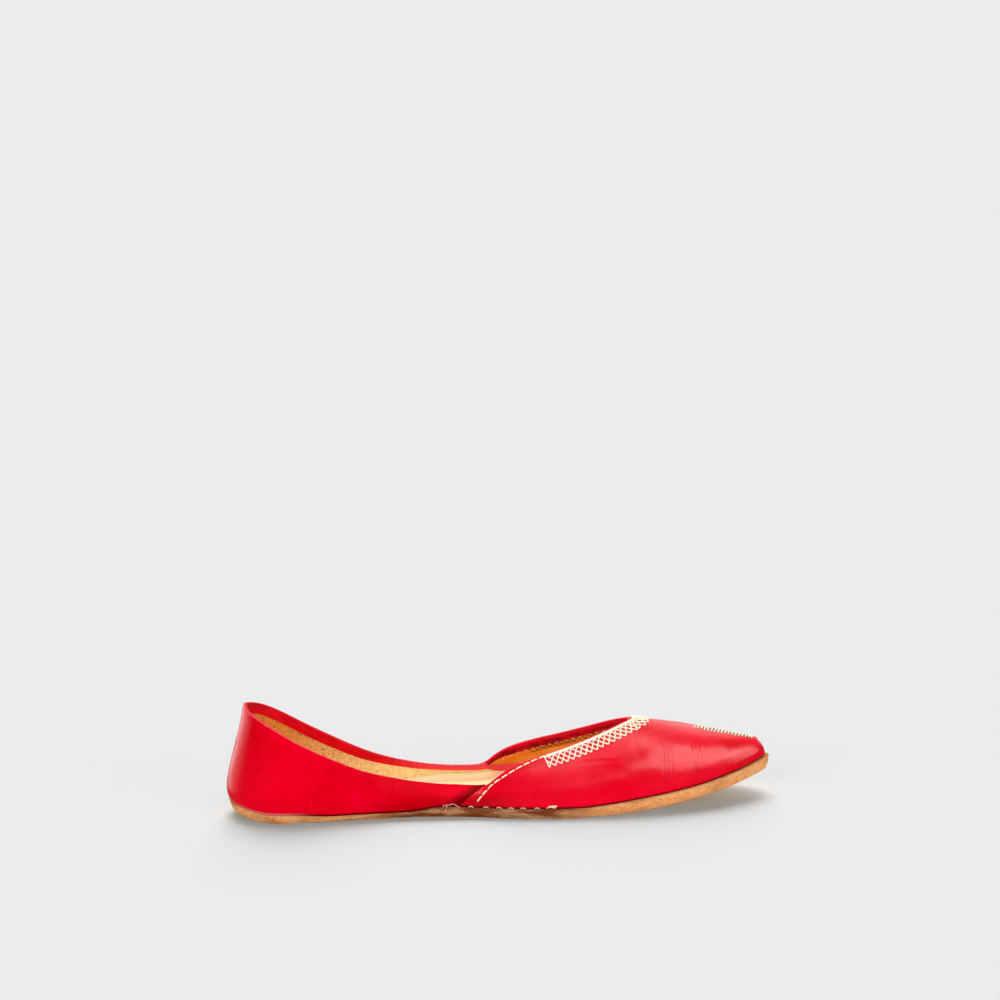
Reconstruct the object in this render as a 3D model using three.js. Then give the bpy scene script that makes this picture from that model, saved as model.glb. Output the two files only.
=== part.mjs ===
// Khussa: a flat leather slip-on with a V throat, made straight so that it fits either foot.
// Millimetres, +Z up. The toe points along +X, and the floor is at z = 0 under the sole.
// Every shell is cut from one form, S(row, rise): row runs from the heel's centre line along one side
// to the toe's centre line, and rise runs from the seam at the sole (0) to the top line (1).

import * as THREE from "three";
import { mergeVertices } from "three/addons/utils/BufferGeometryUtils.js";

// Driving dimensions
const length = 255;
const ballWidth = 80;
const heelWidth = 58;
const backHeight = 52.6;
const instepHeight = 37;
const upperWall = 1.3;
const vampWall = 1.2;
const facingWall = 0.7;
const collarFacingBack = 4;
const collarFacingSide = 5.6;
const collarFacingWaist = 2.9;
const throatFacingDepth = 3;
const insoleWall = 1.8;

// The outsole
const heelSoleWall = 3.3;
const shankSoleWall = 2.3;
const waistSoleWall = 4.3;
const foreSoleWall = 5.4;
const heelPatchWall = 0.6;
const heelPatchEnd = 30;
const heelRise = 3.9;
const archRise = 0.5;
const toeSpring = 12.2;
const weltWidth = 1.6;
const edgeSlant = 1.4;

// Clearances
const layerGap = 0.3;
const seatGap = 0.3;

// Places along the sole, as shares of its length
const heelFlatStart = 0.084;
const heelWallEnd = 0.12;
const shankWallStart = 0.2;
const shankWallEnd = 0.32;
const archSettleStart = 0.38;
const waistWallStart = 0.4;
const ballFlatStart = 0.54;
const ballFlatEnd = 0.628;
const foreWallStart = 0.645;
const foreWallEnd = 0.78;

// Powers of the two curls of the sole's underside
const heelCurl = 1.7;
const toeCurl = 1.8;

// The table of sections, a row each. footAlong and topAlong are shares of the length. footOut and topOut
// are shares of half the width there, and topUp is a share of the height there. lean and slope are the
// wall's angles: outward from upright at the seam, and up from level at the top. turn is the way that
// the wall faces in at the top: 90 straight forward, 0 across the shoe, -90 straight back.
// footPull and topPull are the curve's handles, as shares of the straight distance from seam to top.
const COLUMNS = [
  "footAlong", "footOut", "topAlong", "topOut", "topUp", "lean", "slope", "turn", "footPull", "topPull",
];
const SECTIONS = [
  [0.004, 0.000, 0.037, 0.000, 1.000, 26, 81, 90, 0.20, 0.42],
  [0.011, 0.334, 0.043, 0.283, 0.975, 24, 81, 68, 0.21, 0.41],
  [0.033, 0.628, 0.057, 0.510, 0.939, 20, 81, 45, 0.24, 0.38],
  [0.067, 0.848, 0.081, 0.703, 0.878, 14, 81, 26, 0.28, 0.36],
  [0.108, 0.962, 0.113, 0.810, 0.787, 9, 81, 12, 0.32, 0.34],
  [0.151, 0.997, 0.151, 0.838, 0.679, 5, 80, 5, 0.35, 0.33],
  [0.196, 1.003, 0.196, 0.814, 0.567, 3, 75, 0, 0.36, 0.33],
  [0.243, 0.995, 0.243, 0.768, 0.464, 2, 67, 0, 0.36, 0.33],
  [0.290, 0.968, 0.290, 0.685, 0.395, 2, 54, 0, 0.36, 0.33],
  [0.337, 0.928, 0.337, 0.619, 0.351, 3, 44, 0, 0.36, 0.33],
  [0.380, 0.885, 0.380, 0.570, 0.328, 4, 38, 0, 0.36, 0.33],
  [0.420, 0.841, 0.420, 0.545, 0.322, 5, 36, 0, 0.36, 0.33],
  [0.451, 0.826, 0.453, 0.546, 0.325, 5, 36, 0, 0.36, 0.33],
  [0.476, 0.831, 0.477, 0.560, 0.345, 5, 38, 0, 0.36, 0.33],
  [0.498, 0.838, 0.498, 0.576, 0.422, 5, 41, 0, 0.36, 0.33],
  [0.533, 0.857, 0.533, 0.508, 0.548, 4, 41, 0, 0.36, 0.33],
  [0.576, 0.887, 0.576, 0.423, 0.660, 4, 39, 0, 0.35, 0.33],
  [0.620, 0.913, 0.620, 0.360, 0.745, 3, 38, 0, 0.34, 0.34],
  [0.663, 0.922, 0.663, 0.280, 0.828, 3, 37, 0, 0.33, 0.36],
  [0.706, 0.911, 0.706, 0.188, 0.918, 3, 32, 0, 0.33, 0.38],
  [0.731, 0.898, 0.729, 0.108, 0.966, 3, 27, 0, 0.33, 0.40],
  [0.753, 0.881, 0.741, 0.050, 0.990, 3, 23, 0, 0.33, 0.41],
  [0.775, 0.860, 0.7455, 0.000, 1.000, 3, 20, 0, 0.33, 0.42],
  [0.802, 0.827, 0.775, 0.000, 0.962, 3, 9, 0, 0.33, 0.40],
  [0.833, 0.774, 0.810, 0.000, 0.911, 3, 3, 0, 0.33, 0.38],
  [0.865, 0.700, 0.845, 0.000, 0.858, 3, 0, 0, 0.34, 0.38],
  [0.894, 0.605, 0.876, 0.000, 0.812, 3, 0, 0, 0.35, 0.38],
  [0.922, 0.490, 0.904, 0.000, 0.774, 3, 0, -5, 0.36, 0.38],
  [0.945, 0.368, 0.927, 0.000, 0.740, 3, 3, -15, 0.37, 0.38],
  [0.965, 0.236, 0.945, 0.000, 0.714, 3, 7, -35, 0.38, 0.40],
  [0.980, 0.121, 0.957, 0.000, 0.693, 3, 11, -62, 0.38, 0.42],
  [0.987, 0.000, 0.962, 0.000, 0.682, 3, 12, -90, 0.38, 0.44],
];
// These columns change sign across the shoe's centre plane, and the rest are alike on both sides.
const ODD_COLUMNS = ["footOut", "topOut", "turn"];

// Rows of the table where a piece starts or ends, and the shares of the length between which the named
// heel sizes give way to the named forefoot sizes
const lastRow = SECTIONS.length - 1;
const throatPointRow = 22;
const vampRearTopRow = 13;
const vampRearFootRow = 11;
const collarFacingSideRow = 5.5;
const collarFacingWaistRow = 10.5;
const collarFacingEndRow = 13.5;
const throatFacingStartRow = 14;
const throatFacingEndRow = 22.5;
const weltFullRow = 17;
const widthBlendStart = 0.25;
const widthBlendEnd = 0.6;
const heightBlendStart = 0.2;
const heightBlendEnd = 0.62;

// Fineness of the facets
const rowStep = 0.5;
const risesPerWall = 7;
const probe = 0.004;
const tipProbe = 0.03;

const radians = (degrees) => (degrees * Math.PI) / 180;

function smooth(from, to, value) {
  const share = Math.min(1, Math.max(0, (value - from) / (to - from)));
  return share * share * (3 - 2 * share);
}

// A smooth curve through evenly spaced values. An even curve leaves its ends level, as a mirrored form
// does, and an odd one leaves them straight.
function splineThrough(values, odd) {
  const count = values.length;
  const bends = new Array(count).fill(0);
  const pull = new Array(count).fill(0);
  const level = odd ? 0 : 1;
  pull[0] = level * 0.5;
  bends[0] = level * 3 * (values[1] - values[0]);
  for (let i = 1; i < count - 1; i += 1) {
    const divisor = 4 - pull[i - 1];
    pull[i] = 1 / divisor;
    bends[i] = (6 * (values[i + 1] - 2 * values[i] + values[i - 1]) - bends[i - 1]) / divisor;
  }
  const end = count - 1;
  const endPush = 6 * (values[end - 1] - values[end]);
  bends[end] = level * ((endPush - bends[end - 1]) / (2 - pull[end - 1]));
  for (let i = end - 1; i >= 0; i -= 1) bends[i] -= pull[i] * bends[i + 1];
  return (place) => {
    const i = Math.min(count - 2, Math.max(0, Math.floor(place)));
    const b = place - i;
    const a = 1 - b;
    const bow = (a ** 3 - a) * bends[i] + (b ** 3 - b) * bends[i + 1];
    return a * values[i] + b * values[i + 1] + bow / 6;
  };
}

const column = {};
COLUMNS.forEach((name, index) => {
  const values = SECTIONS.map((section) => section[index]);
  if (name === "topOut") {
    const toThroat = splineThrough(values.slice(0, throatPointRow + 1), true);
    column[name] = (row) => (row < throatPointRow ? Math.max(0, toThroat(row)) : 0);
  } else {
    column[name] = splineThrough(values, ODD_COLUMNS.includes(name));
  }
});

// Half the width that a share of the sections stands for
function halfWidth(along) {
  const blend = smooth(widthBlendStart, widthBlendEnd, along);
  return (heelWidth + (ballWidth - heelWidth) * blend) / 2;
}

function topHeight(along) {
  const blend = smooth(heightBlendStart, heightBlendEnd, along);
  return backHeight + (instepHeight - backHeight) * blend;
}

// The sole's underside at a distance from the heel's back, without the patch under the heel. It stands
// on the patch and on the ball.
function bareBottom(x) {
  const along = x / length;
  if (along < heelFlatStart) {
    return heelPatchWall + heelRise * (1 - Math.max(0, along) / heelFlatStart) ** heelCurl;
  }
  if (x <= heelPatchEnd) return heelPatchWall;
  if (along < ballFlatStart) {
    const share = (x - heelPatchEnd) / (ballFlatStart * length - heelPatchEnd);
    const settled = smooth(archSettleStart, ballFlatStart, along);
    return heelPatchWall * (1 - settled) + archRise * Math.sin(Math.PI * share) ** 2;
  }
  if (along < ballFlatEnd) return 0;
  return toeSpring * ((along - ballFlatEnd) / (1 - ballFlatEnd)) ** toeCurl;
}

function soleTop(x) {
  const along = x / length;
  const shank = (shankSoleWall - heelSoleWall) * smooth(heelWallEnd, shankWallStart, along);
  const waist = (waistSoleWall - shankSoleWall) * smooth(shankWallEnd, waistWallStart, along);
  const fore = (foreSoleWall - waistSoleWall) * smooth(foreWallStart, foreWallEnd, along);
  return bareBottom(x) + heelSoleWall + shank + waist + fore;
}

// The seam line in plan, and the level way out of it
function seam(row) {
  const along = column.footAlong(row);
  return new THREE.Vector2(along * length, column.footOut(row) * halfWidth(along));
}

function wayOut(row) {
  const from = Math.max(0, row - probe);
  const to = Math.min(lastRow, row + probe);
  const step = seam(to).sub(seam(from)).normalize();
  const out = new THREE.Vector2(-step.y, step.x);
  if (row <= 0) out.set(-1, 0);
  if (row >= lastRow) out.set(1, 0);
  return out;
}

// The outer face of the upper: a curve from the seam to the top line in each section
function surface(row, rise) {
  const foot = seam(row);
  const out = wayOut(row);
  const along = column.topAlong(row);
  const lean = radians(column.lean(row));
  const slope = radians(column.slope(row));
  const turn = radians(column.turn(row));
  const start = new THREE.Vector3(foot.x, foot.y, soleTop(foot.x) + seatGap);
  const end = new THREE.Vector3(
    along * length,
    column.topOut(row) * halfWidth(along),
    column.topUp(row) * topHeight(along),
  );
  const reach = start.distanceTo(end);
  const leave = new THREE.Vector3(out.x * Math.sin(lean), out.y * Math.sin(lean), Math.cos(lean));
  const arrive = new THREE.Vector3(
    Math.sin(turn) * Math.cos(slope),
    -Math.cos(turn) * Math.cos(slope),
    Math.sin(slope),
  );
  const curve = new THREE.CubicBezierCurve3(
    start,
    start.clone().addScaledVector(leave, column.footPull(row) * reach),
    end.clone().addScaledVector(arrive, -column.topPull(row) * reach),
    end,
  );
  return curve.getPoint(rise);
}

function isOnCentrePlane(row, rise) {
  return row <= 0 || row >= lastRow || (rise >= 1 && row >= throatPointRow);
}

// The way out of the upper's face, square to it. The sections meet at the toe's last point, so the way
// is taken just below it there.
function faceNormal(row, topRise) {
  const rise = row >= lastRow ? Math.min(topRise, 1 - tipProbe) : topRise;
  const alongRow = surface(Math.min(lastRow, row + probe), rise);
  alongRow.sub(surface(Math.max(0, row - probe), rise));
  const upWall = surface(row, Math.min(1, rise + probe));
  upWall.sub(surface(row, Math.max(0, rise - probe)));
  const normal = upWall.cross(alongRow).normalize();
  if (isOnCentrePlane(row, topRise)) {
    normal.y = 0;
    normal.normalize();
  }
  return normal;
}

// A point off the face by a distance, outward where it is positive. At the seam it stays on the sole.
function offFace(row, rise, distance) {
  const base = surface(row, rise);
  const point = base.clone().addScaledVector(faceNormal(row, rise), distance);
  if (rise <= 0) point.z = soleTop(point.x) + seatGap;
  if (isOnCentrePlane(row, rise)) point.y = 0;
  else point.y = Math.max(point.y, base.y * 0.3);
  return point;
}

// A closed mesh from triangles, with the points that they share joined
function closedMesh(triangles) {
  const points = triangles.flatMap((triangle) => triangle.flatMap((point) => point.toArray()));
  const loose = new THREE.BufferGeometry();
  loose.setAttribute("position", new THREE.Float32BufferAttribute(points, 3));
  const merged = mergeVertices(loose, 1e-3);
  const old = merged.getIndex().array;
  const kept = [];
  for (let i = 0; i < old.length; i += 3) {
    const [a, b, c] = [old[i], old[i + 1], old[i + 2]];
    if (a !== b && b !== c && c !== a) kept.push(a, b, c);
  }
  merged.setIndex(kept);
  merged.computeVertexNormals();
  return merged;
}

// Both sides of a piece from the triangles of one side
function mirrored(triangles) {
  const flip = (point) => new THREE.Vector3(point.x, -point.y, point.z);
  return triangles.concat(triangles.map(([a, b, c]) => [flip(a), flip(c), flip(b)]));
}

function quad(triangles, a, b, c, d) {
  triangles.push([a, b, c], [a, c, d]);
}

// A shell between two distances off the upper's face. places[i][j] is a row and a rise: i runs towards
// the toe and j runs up. The shell is open where it meets its mirrored half and has a rim elsewhere.
function shell(places, inner, outer) {
  const ends = places.length - 1;
  const tops = places[0].length - 1;
  const grid = (distance) => places.map((line) => line.map(([row, rise]) => offFace(row, rise, distance)));
  const outside = grid(outer);
  const inside = grid(inner);
  const centred = (i, j) => isOnCentrePlane(...places[i][j]);
  const triangles = [];
  for (let i = 0; i < ends; i += 1) {
    for (let j = 0; j < tops; j += 1) {
      quad(triangles, outside[i][j], outside[i][j + 1], outside[i + 1][j + 1], outside[i + 1][j]);
      quad(triangles, inside[i][j], inside[i + 1][j], inside[i + 1][j + 1], inside[i][j + 1]);
    }
    quad(triangles, outside[i][0], outside[i + 1][0], inside[i + 1][0], inside[i][0]);
    if (!(centred(i, tops) && centred(i + 1, tops))) {
      quad(triangles, outside[i][tops], inside[i][tops], inside[i + 1][tops], outside[i + 1][tops]);
    }
  }
  for (let j = 0; j < tops; j += 1) {
    if (!(centred(0, j) && centred(0, j + 1))) {
      quad(triangles, outside[0][j], inside[0][j], inside[0][j + 1], outside[0][j + 1]);
    }
    if (!(centred(ends, j) && centred(ends, j + 1))) {
      quad(triangles, outside[ends][j], outside[ends][j + 1], inside[ends][j + 1], inside[ends][j]);
    }
  }
  return closedMesh(mirrored(triangles));
}

function rowsBetween(start, end) {
  const rows = [start];
  const first = Math.floor(start / rowStep + 1);
  for (let i = first; i * rowStep < end; i += 1) rows.push(i * rowStep);
  rows.push(end);
  return rows;
}

function rises(count) {
  return Array.from({ length: count + 1 }, (unused, j) => j / count);
}

function upper() {
  const places = rowsBetween(0, lastRow).map((row) => rises(risesPerWall).map((rise) => [row, rise]));
  return shell(places, -upperWall, 0);
}

// The vamp starts at a rear edge that slants back from the top line to the sole.
function vamp() {
  const slantedRow = (row, rise) => {
    const share = (lastRow - row) / (lastRow - vampRearTopRow);
    return row + (vampRearFootRow - vampRearTopRow) * (1 - rise) * share;
  };
  const places = rowsBetween(vampRearTopRow, lastRow).map((row) => (
    rises(risesPerWall).map((rise) => [slantedRow(row, rise), rise])
  ));
  return shell(places, layerGap, layerGap + vampWall);
}

// A band inside the upper's top line, from a first row to a last one
function facing(startRow, endRow, depth) {
  const places = rowsBetween(startRow, endRow).map((row) => {
    const wall = surface(row, 1).distanceTo(surface(row, 0));
    const lowest = 1 - depth(row) / wall;
    return [lowest, 1].map((rise) => [row, rise]);
  });
  const inner = -upperWall - layerGap - facingWall;
  return shell(places, inner, -upperWall - layerGap);
}

function collarFacing() {
  const depth = (row) => {
    const side = (collarFacingSide - collarFacingBack) * smooth(0, collarFacingSideRow, row);
    const waist = collarFacingWaist - collarFacingSide;
    return collarFacingBack + side + waist * smooth(collarFacingSideRow, collarFacingWaistRow, row);
  };
  return facing(0, collarFacingEndRow, depth);
}

function throatFacing() {
  return facing(throatFacingStartRow, throatFacingEndRow, () => throatFacingDepth);
}

// A flat piece that follows the sole, ruled straight across. rings(row) gives the points of one side's
// edge in order from its top to its bottom.
function plate(rows, rings) {
  const edges = rows.map(rings);
  const last = edges[0].length - 1;
  const triangles = [];
  const middle = (point) => new THREE.Vector3(point.x, 0, point.z);
  for (let i = 0; i < edges.length - 1; i += 1) {
    const [back, front] = [edges[i], edges[i + 1]];
    for (let j = 0; j < last; j += 1) quad(triangles, back[j], front[j], front[j + 1], back[j + 1]);
    quad(triangles, back[0], middle(back[0]), middle(front[0]), front[0]);
    quad(triangles, back[last], front[last], middle(front[last]), middle(back[last]));
  }
  return closedMesh(mirrored(triangles));
}

// How far the sole's top edge stands out of the upper's face: flush at the heel, past the vamp's foot
function soleMargin(row) {
  const underVamp = smooth(vampRearFootRow - 2, vampRearFootRow + 0.5, row);
  const welt = smooth(vampRearTopRow, weltFullRow, row);
  return (layerGap + vampWall) * underVamp + weltWidth * welt;
}

function rowAt(x) {
  let [low, high] = [0, lastRow];
  while (high - low > 1e-9) {
    const middle = (low + high) / 2;
    if (seam(middle).x < x) low = middle;
    else high = middle;
  }
  return low;
}

function outsole() {
  const patchRow = rowAt(heelPatchEnd);
  const patched = rowsBetween(0, patchRow).map((row) => [row, heelPatchWall]);
  const bare = rowsBetween(patchRow, lastRow).map((row) => [row, 0]);
  const ring = ([row, patch]) => {
    const place = (inset) => seam(row).addScaledVector(wayOut(row), soleMargin(row) - inset);
    const [top, belly, bottom] = [place(0), place(edgeSlant * 0.3), place(edgeSlant)];
    const topZ = soleTop(top.x);
    const bottomZ = bareBottom(bottom.x) - patch;
    return [
      new THREE.Vector3(top.x, top.y, topZ),
      new THREE.Vector3(belly.x, belly.y, (topZ + bottomZ) / 2),
      new THREE.Vector3(bottom.x, bottom.y, bottomZ),
    ];
  };
  return plate(patched.concat(bare), ring);
}

// The insole lies inside the upper's lowest facets, at the layers' gap from them.
function insole() {
  const ring = (row) => {
    const foot = offFace(row, 0, -upperWall);
    const facetTop = offFace(row, 1 / risesPerWall, -upperWall);
    const beside = foot.clone().lerp(facetTop, insoleWall / (facetTop.z - foot.z));
    const inward = wayOut(row).multiplyScalar(-layerGap);
    const corner = (point, up) => {
      const x = point.x + inward.x;
      return new THREE.Vector3(x, point.y + inward.y, soleTop(x) + seatGap + up);
    };
    return [corner(beside, insoleWall), corner(foot, 0)];
  };
  return plate(rowsBetween(0, lastRow), ring);
}

const leather = (color, roughness) => new THREE.MeshStandardMaterial({ color, roughness, metalness: 0 });
const redLeather = leather(0xe0002a, 0.35);
const redEdge = leather(0xb8142c, 0.45);
const tanLeather = leather(0xc98a3a, 0.8);
const soleLeather = leather(0xc08048, 0.75);

const shoe = new THREE.Group();
shoe.position.x = -length / 2;

function addPiece(name, geometry, material) {
  const piece = new THREE.Mesh(geometry, material);
  piece.name = name;
  shoe.add(piece);
}

addPiece("outsole", outsole(), soleLeather);
addPiece("insole", insole(), tanLeather);
addPiece("upper", upper(), redLeather);
addPiece("vamp", vamp(), redLeather);
addPiece("collar_facing", collarFacing(), redEdge);
addPiece("throat_facing", throatFacing(), redEdge);

export default shoe;
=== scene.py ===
# Khussa: the leather, linings, sole and threads of the shoe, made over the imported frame.
# The form is worked out in millimetres with the heel's back at x = 0, and each mesh is made in metres.
import math
from collections import namedtuple

import bmesh
import bpy
import numpy as np
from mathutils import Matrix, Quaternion, Vector, noise
from mathutils.bvhtree import BVHTree


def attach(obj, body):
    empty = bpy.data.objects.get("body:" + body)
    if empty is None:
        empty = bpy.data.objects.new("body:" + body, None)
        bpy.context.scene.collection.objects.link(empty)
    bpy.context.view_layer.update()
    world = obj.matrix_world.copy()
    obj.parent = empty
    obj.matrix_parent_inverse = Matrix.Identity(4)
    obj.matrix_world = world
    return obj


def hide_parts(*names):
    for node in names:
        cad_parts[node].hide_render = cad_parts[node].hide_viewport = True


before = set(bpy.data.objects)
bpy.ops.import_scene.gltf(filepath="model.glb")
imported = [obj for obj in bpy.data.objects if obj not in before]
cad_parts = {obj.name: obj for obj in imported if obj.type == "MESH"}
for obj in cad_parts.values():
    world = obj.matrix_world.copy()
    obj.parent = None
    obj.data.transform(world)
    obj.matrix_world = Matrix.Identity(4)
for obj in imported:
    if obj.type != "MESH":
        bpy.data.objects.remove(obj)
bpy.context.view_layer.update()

METRE = 1000

# Driving dimensions, as the solids have them
LENGTH = 255
BALL_WIDTH = 80
HEEL_WIDTH = 58
BACK_HEIGHT = 52.6
INSTEP_HEIGHT = 37
UPPER_WALL = 1.3
VAMP_WALL = 1.2
FACING_WALL = 0.7
COLLAR_FACING_BACK = 4
COLLAR_FACING_SIDE = 5.6
COLLAR_FACING_WAIST = 2.9
THROAT_FACING_DEPTH = 3
INSOLE_WALL = 1.8
HEEL_SOLE_WALL = 3.3
SHANK_SOLE_WALL = 2.3
WAIST_SOLE_WALL = 4.3
FORE_SOLE_WALL = 5.4
HEEL_PATCH_WALL = 0.6
HEEL_PATCH_END = 30
HEEL_RISE = 3.9
ARCH_RISE = 0.5
TOE_SPRING = 12.2
WELT_WIDTH = 1.6
EDGE_SLANT = 1.4
LAYER_GAP = 0.3
SEAT_GAP = 0.3

# Places along the sole, as shares of its length
HEEL_FLAT_START = 0.084
HEEL_WALL_END = 0.12
SHANK_WALL_START = 0.2
SHANK_WALL_END = 0.32
ARCH_SETTLE_START = 0.38
WAIST_WALL_START = 0.4
BALL_FLAT_START = 0.54
BALL_FLAT_END = 0.628
FORE_WALL_START = 0.645
FORE_WALL_END = 0.78
HEEL_CURL = 1.7
TOE_CURL = 1.8

# The table of sections, a row each, as the solids have it: footAlong and topAlong are shares of the
# length, footOut and topOut shares of half the width there, topUp a share of the height there. lean,
# slope and turn are the wall's angles, and the last two the handles of its curve.
COLUMNS = (
    "foot_along", "foot_out", "top_along", "top_out", "top_up",
    "lean", "slope", "turn", "foot_pull", "top_pull",
)
SECTIONS = (
    (0.004, 0.000, 0.037, 0.000, 1.000, 26, 81, 90, 0.20, 0.42),
    (0.011, 0.334, 0.043, 0.283, 0.975, 24, 81, 68, 0.21, 0.41),
    (0.033, 0.628, 0.057, 0.510, 0.939, 20, 81, 45, 0.24, 0.38),
    (0.067, 0.848, 0.081, 0.703, 0.878, 14, 81, 26, 0.28, 0.36),
    (0.108, 0.962, 0.113, 0.810, 0.787, 9, 81, 12, 0.32, 0.34),
    (0.151, 0.997, 0.151, 0.838, 0.679, 5, 80, 5, 0.35, 0.33),
    (0.196, 1.003, 0.196, 0.814, 0.567, 3, 75, 0, 0.36, 0.33),
    (0.243, 0.995, 0.243, 0.768, 0.464, 2, 67, 0, 0.36, 0.33),
    (0.290, 0.968, 0.290, 0.685, 0.395, 2, 54, 0, 0.36, 0.33),
    (0.337, 0.928, 0.337, 0.619, 0.351, 3, 44, 0, 0.36, 0.33),
    (0.380, 0.885, 0.380, 0.570, 0.328, 4, 38, 0, 0.36, 0.33),
    (0.420, 0.841, 0.420, 0.545, 0.322, 5, 36, 0, 0.36, 0.33),
    (0.451, 0.826, 0.453, 0.546, 0.325, 5, 36, 0, 0.36, 0.33),
    (0.476, 0.831, 0.477, 0.560, 0.345, 5, 38, 0, 0.36, 0.33),
    (0.498, 0.838, 0.498, 0.576, 0.422, 5, 41, 0, 0.36, 0.33),
    (0.533, 0.857, 0.533, 0.508, 0.548, 4, 41, 0, 0.36, 0.33),
    (0.576, 0.887, 0.576, 0.423, 0.660, 4, 39, 0, 0.35, 0.33),
    (0.620, 0.913, 0.620, 0.360, 0.745, 3, 38, 0, 0.34, 0.34),
    (0.663, 0.922, 0.663, 0.280, 0.828, 3, 37, 0, 0.33, 0.36),
    (0.706, 0.911, 0.706, 0.188, 0.918, 3, 32, 0, 0.33, 0.38),
    (0.731, 0.898, 0.729, 0.108, 0.966, 3, 27, 0, 0.33, 0.40),
    (0.753, 0.881, 0.741, 0.050, 0.990, 3, 23, 0, 0.33, 0.41),
    (0.775, 0.860, 0.7455, 0.000, 1.000, 3, 20, 0, 0.33, 0.42),
    (0.802, 0.827, 0.775, 0.000, 0.962, 3, 9, 0, 0.33, 0.40),
    (0.833, 0.774, 0.810, 0.000, 0.911, 3, 3, 0, 0.33, 0.38),
    (0.865, 0.700, 0.845, 0.000, 0.858, 3, 0, 0, 0.34, 0.38),
    (0.894, 0.605, 0.876, 0.000, 0.812, 3, 0, 0, 0.35, 0.38),
    (0.922, 0.490, 0.904, 0.000, 0.774, 3, 0, -5, 0.36, 0.38),
    (0.945, 0.368, 0.927, 0.000, 0.740, 3, 3, -15, 0.37, 0.38),
    (0.965, 0.236, 0.945, 0.000, 0.714, 3, 7, -35, 0.38, 0.40),
    (0.980, 0.121, 0.957, 0.000, 0.693, 3, 11, -62, 0.38, 0.42),
    (0.987, 0.000, 0.962, 0.000, 0.682, 3, 12, -90, 0.38, 0.44),
)
ODD_COLUMNS = ("foot_out", "top_out", "turn")
LAST_ROW = len(SECTIONS) - 1
THROAT_POINT_ROW = 22
VAMP_REAR_TOP_ROW = 13
VAMP_REAR_FOOT_ROW = 11
COLLAR_FACING_SIDE_ROW = 5.5
COLLAR_FACING_WAIST_ROW = 10.5
THROAT_FACING_START_ROW = 14
THROAT_FACING_END_ROW = 22.5
WIDTH_BLEND_START = 0.25
WIDTH_BLEND_END = 0.6
HEIGHT_BLEND_START = 0.2
HEIGHT_BLEND_END = 0.62
PROBE = 0.004
TIP_PROBE = 0.03
# The least a shell's inner face keeps of the outer face's distance from the middle
KEPT_SIDE = 0.3


# Camera: the photograph's angle, with a long lens
CAMERA_ELEVATION = math.radians(13.5)
CAMERA_ROLL = math.radians(-2.35)
CAMERA_DISTANCE = 12
CAMERA_AIM = Vector((0.00625, 0, 0.1455))
CAMERA_FIELD = 0.4684
SENSOR = 36


def put_in_scene(name, data):
    made = bpy.data.objects.new(name, data)
    bpy.context.scene.collection.objects.link(made)
    return made


def turn_to(piece, way, roll=0):
    """Turns a camera or light so that it looks along a way."""
    piece.rotation_mode = "QUATERNION"
    turn = Vector(way).to_track_quat("-Z", "Y")
    piece.rotation_quaternion = turn @ Quaternion((0, 0, 1), roll)


def make_camera():
    data = bpy.data.cameras.new("camera")
    data.sensor_width = SENSOR
    data.lens = SENSOR * CAMERA_DISTANCE / CAMERA_FIELD
    data.clip_end = 200
    camera = put_in_scene("camera", data)
    back = Vector((0, -math.cos(CAMERA_ELEVATION), math.sin(CAMERA_ELEVATION)))
    camera.location = CAMERA_AIM + back * CAMERA_DISTANCE
    turn_to(camera, -back, CAMERA_ROLL)
    bpy.context.scene.camera = camera


make_camera()


# The form of the last
def smooth(start, end, value):
    share = np.clip((np.asarray(value, float) - start) / (end - start), 0, 1)
    return share * share * (3 - 2 * share)


def spline_through(values, odd):
    """A smooth curve through evenly spaced values, level at its ends or, for an odd one, straight there."""
    values = np.array(values, float)
    count = len(values)
    system = np.zeros((count, count))
    push = np.zeros(count)
    for i in range(1, count - 1):
        system[i, i - 1:i + 2] = (1, 4, 1)
        push[i] = 6 * (values[i + 1] - 2 * values[i] + values[i - 1])
    system[0, 0] = system[-1, -1] = 1
    if not odd:
        system[0, :2] = (2, 1)
        push[0] = 6 * (values[1] - values[0])
        system[-1, -2:] = (1, 2)
        push[-1] = 6 * (values[-2] - values[-1])
    bends = np.linalg.solve(system, push)

    def at(place):
        place = np.asarray(place, float)
        i = np.clip(np.floor(place).astype(int), 0, count - 2)
        b = place - i
        a = 1 - b
        bow = (a ** 3 - a) * bends[i] + (b ** 3 - b) * bends[i + 1]
        return a * values[i] + b * values[i + 1] + bow / 6

    return at


def make_columns():
    column = {}
    for index, name in enumerate(COLUMNS):
        values = [section[index] for section in SECTIONS]
        if name == "top_out":
            to_throat = spline_through(values[:THROAT_POINT_ROW + 1], True)
            column[name] = lambda row, curve=to_throat: np.where(
                np.asarray(row) < THROAT_POINT_ROW,
                np.maximum(0, curve(np.minimum(row, THROAT_POINT_ROW))), 0)
        else:
            column[name] = spline_through(values, name in ODD_COLUMNS)
    return column


COLUMN = make_columns()


def half_width(along):
    blend = smooth(WIDTH_BLEND_START, WIDTH_BLEND_END, along)
    return (HEEL_WIDTH + (BALL_WIDTH - HEEL_WIDTH) * blend) / 2


def top_height(along):
    blend = smooth(HEIGHT_BLEND_START, HEIGHT_BLEND_END, along)
    return BACK_HEIGHT + (INSTEP_HEIGHT - BACK_HEIGHT) * blend


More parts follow.
